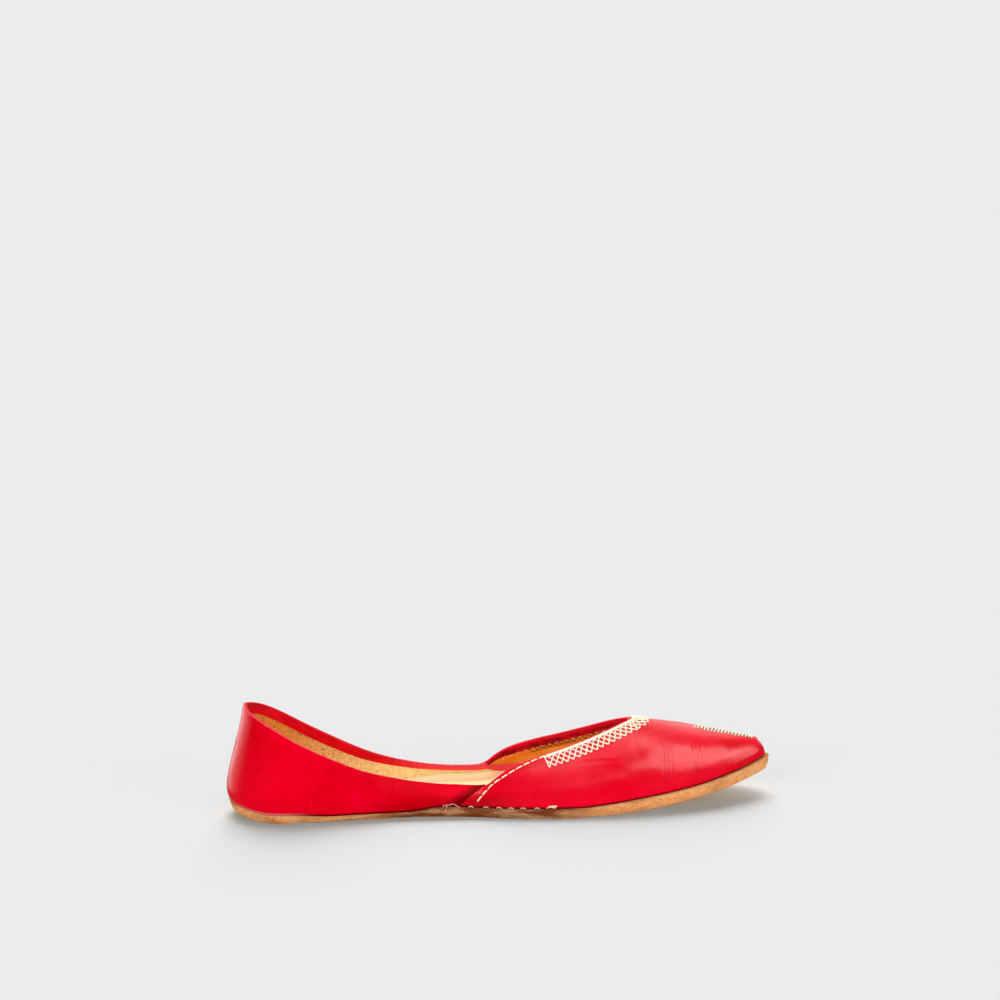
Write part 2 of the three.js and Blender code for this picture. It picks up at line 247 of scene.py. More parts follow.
def bare_bottom(x):
    x = np.asarray(x, float)
    along = x / LENGTH
    heel = 1 - np.clip(along, 0, HEEL_FLAT_START) / HEEL_FLAT_START
    share = np.clip((x - HEEL_PATCH_END) / (BALL_FLAT_START * LENGTH - HEEL_PATCH_END), 0, 1)
    settled = smooth(ARCH_SETTLE_START, BALL_FLAT_START, along)
    arch = HEEL_PATCH_WALL * (1 - settled) + ARCH_RISE * np.sin(np.pi * share) ** 2
    toe = np.clip((along - BALL_FLAT_END) / (1 - BALL_FLAT_END), 0, None)
    return arch + HEEL_RISE * heel ** HEEL_CURL + TOE_SPRING * toe ** TOE_CURL


def sole_top(x):
    along = np.asarray(x, float) / LENGTH
    shank = (SHANK_SOLE_WALL - HEEL_SOLE_WALL) * smooth(HEEL_WALL_END, SHANK_WALL_START, along)
    waist = (WAIST_SOLE_WALL - SHANK_SOLE_WALL) * smooth(SHANK_WALL_END, WAIST_WALL_START, along)
    fore = (FORE_SOLE_WALL - WAIST_SOLE_WALL) * smooth(FORE_WALL_START, FORE_WALL_END, along)
    return bare_bottom(x) + HEEL_SOLE_WALL + shank + waist + fore


def unit(vectors):
    length = np.linalg.norm(vectors, axis=-1, keepdims=True)
    return vectors / np.maximum(length, 1e-12)


def seam(row):
    along = COLUMN["foot_along"](row)
    return np.stack([along * LENGTH, COLUMN["foot_out"](row) * half_width(along)], -1)


def way_out(row):
    row = np.asarray(row, float)
    step = unit(seam(np.minimum(LAST_ROW, row + PROBE)) - seam(np.maximum(0, row - PROBE)))
    out = np.stack([-step[..., 1], step[..., 0]], -1)
    out[row <= 0] = (-1, 0)
    out[row >= LAST_ROW] = (1, 0)
    return out


def surface(row, rise):
    """The outer face of the upper, on the side where y is positive."""
    row, rise = np.broadcast_arrays(np.asarray(row, float), np.asarray(rise, float))
    foot = seam(row)
    out = way_out(row)
    along = COLUMN["top_along"](row)
    lean, slope, turn = (np.radians(COLUMN[name](row)) for name in ("lean", "slope", "turn"))
    start = np.stack([foot[..., 0], foot[..., 1], sole_top(foot[..., 0]) + SEAT_GAP], -1)
    end = np.stack([
        along * LENGTH,
        COLUMN["top_out"](row) * half_width(along),
        COLUMN["top_up"](row) * top_height(along),
    ], -1)
    reach = np.linalg.norm(end - start, axis=-1)
    leave = np.stack([out[..., 0] * np.sin(lean), out[..., 1] * np.sin(lean), np.cos(lean)], -1)
    arrive = np.stack(
        [np.sin(turn) * np.cos(slope), -np.cos(turn) * np.cos(slope), np.sin(slope)], -1)
    low = start + leave * (COLUMN["foot_pull"](row) * reach)[..., None]
    high = end - arrive * (COLUMN["top_pull"](row) * reach)[..., None]
    t = rise[..., None]
    return (1 - t) ** 3 * start + 3 * (1 - t) ** 2 * t * low + 3 * (1 - t) * t * t * high + t ** 3 * end


def on_centre_plane(row, rise):
    row, rise = np.broadcast_arrays(row, rise)
    return (row <= 0) | (row >= LAST_ROW) | ((rise >= 1) & (row >= THROAT_POINT_ROW))


def face_normal(row, rise):
    row, rise = np.broadcast_arrays(np.asarray(row, float), np.asarray(rise, float))
    held = np.where(row >= LAST_ROW, np.minimum(rise, 1 - TIP_PROBE), rise)
    along = surface(np.minimum(LAST_ROW, row + PROBE), held) - surface(np.maximum(0, row - PROBE), held)
    up = surface(row, np.minimum(1, held + PROBE)) - surface(row, np.maximum(0, held - PROBE))
    normal = unit(np.cross(up, along))
    centre = on_centre_plane(row, rise)
    normal[centre, 1] = 0
    return unit(normal)


def off_face(row, rise, distance):
    row, rise = np.broadcast_arrays(np.asarray(row, float), np.asarray(rise, float))
    base = surface(row, rise)
    point = base + face_normal(row, rise) * np.broadcast_to(distance, row.shape)[..., None]
    point[..., 2] = np.where(rise <= 0, sole_top(point[..., 0]) + SEAT_GAP, point[..., 2])
    kept = np.maximum(point[..., 1], base[..., 1] * KEPT_SIDE)
    point[..., 1] = np.where(on_centre_plane(row, rise), 0, kept)
    return point


def wall_height(row):
    return np.linalg.norm(surface(row, 1) - surface(row, 0), axis=-1)


def ripple(points, size, seed):
    """Soft noise between -1 and 1 at each point, with waves of about the given size."""
    shift = Vector((seed * 17.3, seed * 5.1, seed * 9.7))
    flat = points.reshape(-1, 3) / size
    values = [noise.noise(Vector(p) + shift) for p in flat]
    return np.array(values).reshape(points.shape[:-1])


# Meshes
RED, EDGE, TAN, SOLE, CREAM = "red_leather", "red_edge", "tan_leather", "sole_leather", "cream_thread"
WELD_DISTANCE = 2e-6
SLIVER_DISTANCE = 1e-7
ARC_STEPS = 6
EDGE_BULGE = 0.8


def blend(first, second, share):
    return first + (second - first) * share


def mirrored(points, side):
    return points * np.array((1, side, 1))


def distances(points):
    """How far each point of a line is from its start, along the line."""
    return np.concatenate([[0], np.cumsum(np.linalg.norm(np.diff(points, axis=0), axis=1))])


def make_piece(name, points, faces, finishes, finish_of=None, fields=None, replaces=None, weld=True):
    """A mesh from points in millimetres. finish_of gives each face's finish, and fields are numbers
    kept at each point."""
    mesh = bpy.data.meshes.new(name)
    placed = (np.array(points, float).reshape(-1, 3) - (LENGTH / 2, 0, 0)) / METRE
    mesh.from_pydata(placed.tolist(), [], [tuple(face) for face in faces])
    for finish in finishes:
        mesh.materials.append(FINISH[finish])
    if finish_of is not None:
        mesh.polygons.foreach_set("material_index", np.asarray(finish_of, np.int32))
    for key, values in (fields or {}).items():
        layer = mesh.attributes.new(key, "FLOAT", "POINT")
        layer.data.foreach_set("value", np.asarray(values, np.float32).ravel())
    if weld:
        work = bmesh.new()
        work.from_mesh(mesh)
        bmesh.ops.remove_doubles(work, verts=work.verts, dist=WELD_DISTANCE)
        bmesh.ops.dissolve_degenerate(work, edges=work.edges, dist=SLIVER_DISTANCE)
        bmesh.ops.recalc_face_normals(work, faces=work.faces)
        work.to_mesh(mesh)
        work.free()
    mesh.shade_smooth()
    piece = put_in_scene(name, mesh)
    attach(piece, "root")
    if replaces:
        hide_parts(replaces)
    return piece


def border_of(rows, tops):
    """The two indices of a grid's border as a loop: up the rear, along the top, down the front, back."""
    loop = [(0, j) for j in range(tops)]
    loop += [(i, tops) for i in range(rows)]
    loop += [(rows, j) for j in range(tops, 0, -1)]
    loop += [(i, 0) for i in range(rows, 0, -1)]
    return np.array(loop).T


def edge_arcs(outside, inside, centred, rounded_foot):
    """The points of the rounded edge between two faces' borders, for every point of their grids."""
    way = np.zeros(outside.shape)
    way[:, -1] += unit(outside[:, -1] - outside[:, -2])
    way[:, 0] += unit(outside[:, 0] - outside[:, 1])
    way[0] += unit(outside[0] - outside[1])
    way[-1] += unit(outside[-1] - outside[-2])
    if not rounded_foot:
        way[:, 0] = 0
    way[centred, 1] = 0
    across = (outside - inside) / 2
    half = np.linalg.norm(across, axis=-1, keepdims=True)
    way -= across * np.sum(way * across, -1, keepdims=True) / np.maximum(half * half, 1e-9)
    way[np.linalg.norm(way, axis=-1) < 1e-6] = 0
    way = unit(way) * half * EDGE_BULGE
    angles = np.pi * np.arange(1, ARC_STEPS)[:, None] / ARC_STEPS
    middle = (outside + inside) / 2
    return middle[..., None, :] + across[..., None, :] * np.cos(angles) + way[..., None, :] * np.sin(angles)


def leather_shell(row, rise, inner, outer, relief=None, rounded_foot=False):
    """Points, faces, part codes and fields of a shell with rounded cut edges. The codes are 0 outside,
    1 and 3 the outer and inner half of the edge, and 2 inside. row and rise are grids: the first index
    runs to the toe and the second up the wall. inner and outer may be grids too."""
    i, j = border_of(row.shape[0] - 1, row.shape[1] - 1)
    index = np.arange(row.size).reshape(row.shape)
    centred = on_centre_plane(row, rise)
    arcs = 2 * row.size + np.arange(len(i) * (ARC_STEPS - 1)).reshape(len(i), -1)
    strips = np.column_stack([index[i, j], arcs, row.size + index[i, j]])
    after = np.roll(strips, -1, 0)
    skins = np.stack([index[:-1, :-1], index[:-1, 1:], index[1:, 1:], index[1:, :-1]], -1).reshape(-1, 4)
    skins = np.stack([skins, row.size + skins[:, ::-1]], 1)
    edges = np.stack([strips[:, :-1], strips[:, 1:], after[:, 1:], after[:, :-1]], -1)
    edges = edges[~(centred[i, j] & np.roll(centred[i, j], -1))]
    faces = np.concatenate([skins.reshape(-1, 4), edges.reshape(-1, 4)])
    edge_codes = np.where(np.arange(ARC_STEPS) < ARC_STEPS // 2, 1, 3)
    codes = np.concatenate([np.tile((0, 2), len(skins)), np.tile(edge_codes, len(edges))])
    points = []
    for side in (1, -1):
        pushed = np.broadcast_to(outer, row.shape).astype(float)
        if relief is not None:
            pushed = pushed + relief(mirrored(surface(row, rise), side), row, rise)
        outside = mirrored(off_face(row, rise, pushed), side)
        inside = mirrored(off_face(row, rise, inner), side)
        rounds = edge_arcs(outside, inside, centred, rounded_foot)[i, j]
        points += [part.reshape(-1, 3) for part in (outside, inside, rounds)]
    height = wall_height(row)
    fields = {}
    for key, values in (("above_seam", rise * height), ("below_top", (1 - rise) * height), ("place", row)):
        one_side = [values.ravel(), values.ravel(), np.repeat(values[i, j], ARC_STEPS - 1)]
        fields[key] = np.concatenate(one_side * 2)
    faces = np.concatenate([faces, faces + 2 * row.size + arcs.size])
    return np.concatenate(points), faces, np.tile(codes, 2), fields


def even_rows(start, end, spacing, fine=()):
    """Rows whose seam points lie about the given spacing apart, closer within the fine stretches,
    each of which is (x from, x to, spacing)."""
    dense = np.linspace(start, end, 4001)
    x = seam(dense)
    middle = (x[1:, 0] + x[:-1, 0]) / 2
    wanted = np.full(len(middle), float(spacing))
    for low, high, close in fine:
        wanted = np.where((middle > low) & (middle < high), close, wanted)
    marks = np.concatenate([[0], np.cumsum(np.linalg.norm(np.diff(x, axis=0), axis=1) / wanted)])
    count = max(2, int(round(marks[-1])))
    return np.interp(np.linspace(0, marks[-1], count + 1), marks, dense)


def with_row(rows, place):
    """The rows with the given one put in, in place of its nearest."""
    rows = np.array(rows)
    rows[np.argmin(np.abs(rows - place))] = place
    return rows


# Finishes. The mixing node has a socket of each name for every type, and these are the colours' own.
COLOUR_A = 6
COLOUR_B = 7
MIXED_COLOUR = 2


def tint(colour):
    """A colour as it shows on a screen, 0 to 255, in the linear numbers that shaders take."""
    shown = np.array(colour) / 255
    linear = np.where(shown <= 0.04045, shown / 12.92, ((shown + 0.055) / 1.055) ** 2.4)
    return (*linear.tolist(), 1)


class Finish:
    """A procedural material, built up from layers of colour and of bumps."""

    def __init__(self, name, roughness, specular, sheen=0):
        self.material = bpy.data.materials.new(name)
        self.material.use_nodes = True
        self.tree = self.material.node_tree
        self.shade("Roughness", roughness)
        self.shade("Specular IOR Level", specular)
        self.shade("Sheen Weight", sheen)
        self.place = self.node("ShaderNodeTexCoord", "Object", {})
        self.colour = self.normal = None

    def shade(self, name, value):
        self.put(self.tree.nodes["Principled BSDF"].inputs[name], value)

    def put(self, socket, value):
        if isinstance(value, bpy.types.NodeSocket):
            self.tree.links.new(value, socket)
        else:
            socket.default_value = value

    def node(self, kind, output, inputs, **settings):
        """Makes a node and returns one of its outputs. The inputs are numbers or other outputs."""
        made = self.tree.nodes.new(kind)
        for key, value in settings.items():
            setattr(made, key, value)
        for key, value in inputs.items():
            self.put(made.inputs[key], value)
        return made.outputs[output]

    def stretched(self, x, y, z, turn=0):
        inputs = {"Vector": self.place, "Scale": (x, y, z), "Rotation": (0, turn, 0)}
        return self.node("ShaderNodeMapping", "Vector", inputs)

    def noise(self, scale, detail=3, roughness=0.5, place=None):
        inputs = {"Vector": place or self.place, "Scale": scale, "Detail": detail, "Roughness": roughness}
        return self.node("ShaderNodeTexNoise", "Fac", inputs)

    def cells(self, scale):
        return self.node("ShaderNodeTexVoronoi", "Distance", {"Vector": self.place, "Scale": scale})

    def field(self, name):
        return self.node("ShaderNodeAttribute", "Fac", {}, attribute_name=name)

    def along_shoe(self):
        return self.node("ShaderNodeSeparateXYZ", "X", {"Vector": self.place})

    def between(self, value, low, high, to_low=0, to_high=1):
        """The value from low to high, spread over another range and held there."""
        inputs = {"Value": value, "From Min": low, "From Max": high, "To Min": to_low, "To Max": to_high}
        return self.node("ShaderNodeMapRange", "Result", inputs, interpolation_type="SMOOTHSTEP")

    def times(self, first, second):
        return self.node("ShaderNodeMath", 0, {0: first, 1: second}, operation="MULTIPLY")

    def mix(self, share, first, second):
        inputs = {"Factor": share, COLOUR_A: first, COLOUR_B: second}
        self.colour = self.node("ShaderNodeMix", MIXED_COLOUR, inputs, data_type="RGBA")

    def base(self, share, first, second):
        self.mix(share, tint(first), tint(second))

    def layer(self, share, strength, colour):
        """Lays a colour over the ones so far, by a share that varies times a strength."""
        self.mix(self.times(share, strength), self.colour, tint(colour))

    def bump(self, height, distance, strength=1):
        inputs = {"Height": height, "Distance": distance, "Strength": strength}
        if self.normal is not None:
            inputs["Normal"] = self.normal
        self.normal = self.node("ShaderNodeBump", "Normal", inputs)

    def done(self):
        self.shade("Base Color", self.colour)
        if self.normal is not None:
            self.shade("Normal", self.normal)
        return self.material


def red_leather(name, gloss, by_vamp=False):
    f = Finish(name, 0.3, gloss)
    x = f.along_shoe()
    above = f.field("above_seam")
    if by_vamp:
        f.shade("Specular IOR Level", f.between(x, -0.1, -0.12, 0.002, gloss))
    f.base(f.between(f.noise(34, 6, 0.65), 0.32, 0.68), (222, 0, 20), (242, 0, 40))
    scuffs = f.noise(190, 3, 0.6, f.stretched(1, 1, 0.45))
    f.layer(f.between(scuffs, 0.71, 0.77), 0.25, (255, 60, 74))
    f.layer(f.between(f.noise(70, 5, 0.6), 0.5, 0.8), 0.12, (200, 0, 12))
    # Painted shade: low on the wall at the waist the red darkens, as if in shade.
    waist = f.times(f.between(x, -0.075, -0.045), f.between(x, 0.02, -0.01))
    f.layer(f.times(f.between(above, 9, 0.5), waist), 0.6, (150, 0, 6))
    # Painted shadow: the quarter darkens towards the vamp's slanting rear edge, as if shaded by it.
    if by_vamp:
        f.layer(f.between(f.field("to_vamp"), 5.5, 0.6), 0.85, (104, 0, 4))
    else:
        # Painted shade: the press marks' troughs darken with their depth.
        f.layer(f.between(f.field("press"), 0.04, 0.16), 0.4, (140, 0, 20))
    # Painted shade along the foot of the wall, where it tucks in above the sole.
    f.layer(f.between(above, 1.3, 0.5), 0.85, (70, 0, 10))
    # Painted highlight: a pale pink line along the foot of the heel, where the lower edge catches the
    # light.
    heel_foot_highlight = f.times(f.between(above, 1.4, 0.9), f.between(x, -0.085, -0.105))
    f.layer(heel_foot_highlight, 0.8, (255, 120, 122))
    f.bump(f.noise(1500, 4, 0.6), 0.00003)
    f.bump(f.cells(900), 0.00002)
    f.bump(f.noise(110, 2), 0.0004, 0.3)
    f.shade("Roughness", f.between(f.noise(60, 5, 0.6), 0.3, 0.75, 0.2, 0.32))
    return f.done()


def rim_tone_and_highlight():
    # The rounded rims' pale pink is partly the cut edge's own paler tone and partly a painted highlight
    # where the rim catches the light.
    f = Finish("red_rim_tone_and_highlight", 0.45, 0.03)
    f.base(f.between(f.noise(900, 3, 0.6), 0.35, 0.7), (232, 44, 60), (248, 104, 106))
    f.bump(f.noise(2500), 0.0001)
    return f.done()


def turned_edge():
    f = Finish("turned_red_edge", 0.42, 0.04)
    # The dark red is partly the turned leather's own tone and partly painted shade.
    f.base(f.between(f.noise(160, 4, 0.6), 0.35, 0.7), (120, 0, 10), (176, 4, 26))
    # Painted highlight: the top roll is lightened to a brighter red.
    f.layer(f.between(f.field("below_top"), 0.45, 0.15), 1, (206, 8, 28))
    f.bump(f.noise(1400, 4), 0.00006)
    return f.done()


def collar_band():
    f = Finish("collar_band", 0.4, 0.04)
    # Painted light: the band's red is darkened as if in shade, most at the heel, and lightened to pink
    # towards the waist.
    f.base(f.between(f.noise(90, 4, 0.6), 0.35, 0.7), (194, 2, 14), (218, 4, 28))
    f.layer(f.between(f.along_shoe(), -0.06, -0.02), 0.5, (255, 90, 104))
    f.bump(f.noise(1400, 4), 0.00005)
    return f.done()


def suede():
    f = Finish("suede_lining", 0.9, 0, sheen=0.1)
    x = f.along_shoe()
    nap = f.noise(420, 5, 0.7)
    f.base(f.between(x, -0.107, -0.036), (204, 118, 44), (255, 228, 170))
    f.layer(f.between(nap, 0.42, 0.68), 0.5, (224, 142, 66))
    specks = f.noise(1500, 5, 0.75, f.stretched(1, 1, 0.7))
    f.layer(f.between(specks, 0.52, 0.6), f.between(x, -0.03, -0.085), (128, 72, 26))
    f.bump(f.noise(1300, 5, 0.7), 0.0002)
    f.bump(nap, 0.0003, 0.5)
    return f.done()


def vamp_lining():
    f = Finish("vamp_lining", 0.7, 0.03)
    streak = f.noise(70, 5, 0.6, f.stretched(1, 1, 3, 0.5))
    f.base(f.between(streak, 0.3, 0.7), (218, 114, 28), (236, 146, 58))
    f.layer(f.between(f.noise(700, 4, 0.7), 0.5, 0.75), 0.4, (150, 78, 14))
    f.bump(f.noise(900, 4, 0.6), 0.0001)
    f.bump(streak, 0.0006, 0.6)
    return f.done()


def sock_leather():
    f = Finish("sock_leather", 0.62, 0.03)
    f.base(f.between(f.noise(26, 4, 0.6), 0.3, 0.7), (250, 212, 150), (255, 224, 168))
    f.layer(f.between(f.noise(380, 5, 0.7), 0.5, 0.8), 0.3, (206, 150, 92))
    f.bump(f.noise(1100, 4, 0.6), 0.0001)
    f.bump(f.noise(120, 3), 0.0005, 0.4)
    return f.done()


def sole_edge():
    f = Finish("sole_edge", 0.85, 0)
    x = f.along_shoe()
    waist = f.times(f.between(x, -0.095, -0.035), f.between(x, 0.06, 0.02))
    f.base(waist, (252, 170, 106), (124, 60, 32))
    layers = f.noise(230, 5, 0.6, f.stretched(0.3, 0.3, 1.6))
    f.layer(f.between(layers, 0.42, 0.7), 0.45, (255, 206, 150))
    stains = f.noise(75, 4, 0.6, f.stretched(0.6, 0.6, 1.6))
    f.layer(f.between(stains, 0.48, 0.72), 0.6, (166, 94, 50))
    fibres = f.noise(1100, 5, 0.7, f.stretched(0.6, 0.6, 1.2))
    f.layer(f.between(fibres, 0.5, 0.7), 0.6, (118, 62, 30))
    f.layer(f.between(f.noise(1600, 3, 0.7), 0.6, 0.68), 0.7, (70, 36, 18))
    f.bump(layers, 0.0005, 0.8)
    f.bump(fibres, 0.0004, 0.9)
    return f.done()


def sole_face():
    f = Finish("sole_face", 0.7, 0.03)
    f.base(f.between(f.noise(30, 5, 0.6), 0.3, 0.7), (176, 116, 68), (204, 146, 92))
    scuffs = f.noise(120, 5, 0.7, f.stretched(0.3, 1, 1))
    f.layer(f.between(scuffs, 0.52, 0.72), 0.6, (112, 68, 38))
    f.bump(f.noise(900, 5, 0.7), 0.0002)
    f.bump(scuffs, 0.0004, 0.5)
    return f.done()


def thread(name, light, dark):
    f = Finish(name, 0.75, 0.02)
    f.base(f.between(f.noise(1800, 3, 0.6), 0.4, 0.75), light, dark)
    f.bump(f.noise(5000, 3), 0.0001)
    return f.done()


FINISH = {
    "red": red_leather("vamp_leather", 0.06),
    "quarter": red_leather("quarter_leather", 0.03, by_vamp=True),
    # cut: the rims' finish, partly their own paler tone and partly painted highlight
    "cut": rim_tone_and_highlight(),
    "turned": turned_edge(),
    "band": collar_band(),
    "suede": suede(),
    "lining": vamp_lining(),
    "sock": sock_leather(),
    "sole_edge": sole_edge(),
    "sole_face": sole_face(),
    "cream": thread("cream_thread", (255, 252, 236), (250, 236, 204)),
    "brown": thread("brown_thread", (96, 52, 16), (62, 30, 8)),
    "ochre": thread("ochre_thread", (156, 108, 56), (112, 72, 30)),
    "pale": thread("pale_thread", (255, 224, 196), (226, 176, 142)),
    "pink": thread("pink_thread", (240, 176, 160), (190, 104, 96)),
}


# Creases and press marks. Each crease runs between two places seen from the side, as x along the shoe
# and z up, on one side of the shoe: -1 for the near side, 1 for the far one. width and depth are the
# trough's, and ridge is how far the leather stands up beside it, as a share of the depth.
CREASES = (
    # side, x from, z from, x to, z to, bow, width, depth, ridge
    (-1, 77.6, 19, 73.6, 6.2, 0.8, 0.8, 0.22, 0.6),
    (-1, 96, 13.5, 108, 9, 0.6, 2.4, 0.22, 0.5),
    (-1, 166, 21.9, 187, 22.9, 0.5, 0.45, 0.1, 0.5),
    (-1, 173, 21, 190, 17.6, 0.9, 1.5, 0.07, 0.6),
    (-1, 178, 18, 194, 20.6, -0.8, 1.4, 0.06, 0.6),
    (-1, 186, 14.4, 203, 17, 0.7, 2, 0.08, 0.5),
    (-1, 128, 13, 147, 11, 1, 3.2, 0.20, 0.5),
    (1, 72, 17, 78, 6, -0.8, 1.4, 0.16, 0.5),
    (1, 168, 24, 192, 26, 1, 1.2, 0.16, 0.4),
    (1, 176, 19, 196, 17, 0.8, 1.7, 0.16, 0.6),
)
# Where the ridge's middle is and how wide it is, for each width of the trough
RIDGE_PLACE = 1.9
RIDGE_WIDTH = 1.1
# Press marks across the vamp: sets of three fine lines at an x, with the depth of each set and how far
# below the ridge it begins
PRESS_MARKS = ((207, 0.13, 2.6), (220.8, 0.13, 0.9), (238.2, 0.06, 0.9))
PRESS_LINE_GAP = 1.8
PRESS_LINE_WIDTH = 0.34
PRESS_TOP_FADE = 2.6
PRESS_FOOT_FADE = (1.5, 6)
CREST_ROWS = np.linspace(THROAT_POINT_ROW, LAST_ROW, 60)
CREST_X, CREST_Z = surface(CREST_ROWS, 1)[:, 0], surface(CREST_ROWS, 1)[:, 2]
# How far the leather curls in above the sole, and up to which share of the wall
FOOT_TUCK = 0.5
FOOT_TUCK_RISE = 0.07
# Soft waves of the leather: the size, the seed and the height of each set
QUARTER_WAVES = ((26, 1, 0.22), (9, 2, 0.06))
VAMP_WAVES = ((30, 3, 0.22), (10, 4, 0.06))


def crease_relief(points):
    total = np.zeros(points.shape[:-1])
    x, y, z = points[..., 0], points[..., 1], points[..., 2]
    for side, x0, z0, x1, z1, bow, width, depth, ridge in CREASES:
        length = math.hypot(x1 - x0, z1 - z0)
        ux, uz = (x1 - x0) / length, (z1 - z0) / length
        along = ((x - x0) * ux + (z - z0) * uz) / length
        off = -(x - x0) * uz + (z - z0) * ux - bow * (1 - (2 * along - 1) ** 2)
        fade = smooth(-0.15, 0.3, along) * smooth(1.15, 0.7, along)
        t = off / width
        shape = -np.exp(-t * t) + ridge * np.exp(-((t - RIDGE_PLACE) / RIDGE_WIDTH) ** 2)
        total += np.where(y * side > 0, shape * depth * fade, 0)
    return total


def press_depth(points):
    x, z = points[..., 0], points[..., 2]
    below_crest = np.interp(x, CREST_X, CREST_Z) - z
    foot_fade = smooth(*PRESS_FOOT_FADE, z - sole_top(x))
    total = np.zeros(x.shape)
    for place, depth, start in PRESS_MARKS:
        fade = foot_fade * smooth(start, start + PRESS_TOP_FADE, below_crest)
        for step in (-1, 0, 1):
            t = (x - place - step * PRESS_LINE_GAP) / PRESS_LINE_WIDTH
            total += fade * depth * np.exp(-t * t)
    return total


def ripples(points, waves):
    return sum(ripple(points, size, seed) * height for size, seed, height in waves)


def lasted(points, rise, hold, waves):
    """What both red layers have: soft waves, creases and the curl at the foot."""
    tuck = FOOT_TUCK * smooth(FOOT_TUCK_RISE, 0, rise)
    return ripples(points, waves) * hold + crease_relief(points) - tuck


def quarter_relief(points, row, rise):
    hold = smooth(0, 0.15, rise) * smooth(1, 0.85, rise)
    return np.where(row < VAMP_REAR_TOP_ROW + 1, lasted(points, rise, hold, QUARTER_WAVES), 0)


def vamp_relief(points, row, rise):
    return lasted(points, rise, smooth(0, 0.12, rise), VAMP_WAVES) - press_depth(points)


# Skins of the leather. The vamp's rear corner stops short of the solid's by a drop that has faded out
# at the end row, and every rounded edge takes a share of its wall.
CORNER_DROP = 2
CORNER_END_ROW = 14.9
EDGE_TRIM_SHARE = 0.4
# How far apart each piece's rows are along the seam, and how many steps go up its wall
UPPER_SPACING, UPPER_STEPS = 1.1, 34
VAMP_SPACING, VAMP_STEPS = 0.85, 56
FACING_SPACING, FACING_STEPS = 0.9, 14
PRESS_SPACING = 0.32
# The quarter's suede ends at this row, inside the vamp, and the lining shows down to so far below it
QUARTER_END_ROW = 16.6
SUEDE_DROP = 1.5
# The distance square to the vamp's slanting rear edge, for each millimetre along the shoe, which sets how
# far the painted shadow beside that edge reaches
VAMP_EDGE_LEAN = 0.6
# How far the lining stops below the throat's edge, where the turned edge covers it
LINING_DROP = 1.6
LINING_DROP_ROWS = (13.6, 14.4)
# The vamp's slanting rear edge lies a little ahead of the solid's, thinner and closer to the quarter,
# and curls off it by the lift, over so many rows of the table
VAMP_REAR_START_ROW = VAMP_REAR_TOP_ROW + 0.15
VAMP_REAR_WALL = 0.8
VAMP_REAR_GAP = 0.1
VAMP_THIN_ROWS = 1.6
VAMP_LIFT = 0.3
VAMP_LIFT_ROWS = 0.8
# The quarter's band runs on inside the vamp, level, to this row, and how deep it is there
BAND_END_ROW = 15.7
BAND_DEPTH_UNDER_VAMP = 4.4
BAND_DEEPENING_ROWS = (11.6, 13.4)
# How much the quarter's line falls there for each millimetre that the wall flares out, and how far
# below the corner it starts
QUARTER_LINE_FALL = 0.24
QUARTER_LINE_START = 0.3
FACING_TRIM = 0.25
# The bands' faces: how far in they start and how much further their lower part swells
BAND_GAP = 0.04
BAND_EDGE = 0.35
BAND_SWELL = 0.5
THROAT_EDGE_OUT = 0.22
THROAT_EDGE_IN = -0.6
THROAT_SWELL = 1.55
# The throat's band is shallow at its rear end, for so many rows, and narrows between these rows
THROAT_REAR_DEPTH = 0.3
THROAT_REAR_ROWS = 1.4
THROAT_NARROWING = 0.35
THROAT_NARROWING_ROWS = (16, 19)


def corner_drop(rows):
    drop = CORNER_DROP * smooth(CORNER_END_ROW, VAMP_REAR_TOP_ROW, rows)
    return np.where(rows >= VAMP_REAR_TOP_ROW, drop, 0)


def trim_of(rows, wall):
    """The share of the wall that the rounded edge takes, none where the wall ends on the centre line."""
    trim = (EDGE_TRIM_SHARE * wall + corner_drop(rows)) / wall_height(rows)
    return np.where(rows < THROAT_POINT_ROW, trim, 0)


def wall_grid(rows, lowest, highest, steps):
    """Grids of rows and of rises, with the rises between a lowest and a highest one at each row."""
    rise = blend(lowest[:, None], highest[:, None], np.linspace(0, 1, steps + 1))
    return np.repeat(rows[:, None], steps + 1, 1), rise


def vamp_row(row, rise):
    share = (LAST_ROW - row) / (LAST_ROW - VAMP_REAR_TOP_ROW)
    return row + (VAMP_REAR_FOOT_ROW - VAMP_REAR_TOP_ROW) * (1 - rise) * share


def quarter_top_drop(rows):
    """How far the quarter's own top line is below the throat's edge, from where the vamp starts."""
    corner = surface(VAMP_REAR_TOP_ROW, 1)
    level = corner[2] + QUARTER_LINE_FALL * corner[1] - QUARTER_LINE_START
    rises = np.linspace(0, 1, 80)
    drops = np.zeros(len(rows))
    for k in np.flatnonzero(rows > VAMP_REAR_TOP_ROW):
        wall = surface(rows[k], rises)
        meets = np.interp(level, wall[:, 2] + QUARTER_LINE_FALL * wall[:, 1], rises)
        drops[k] = (1 - meets) * wall_height(rows[k])
    return drops


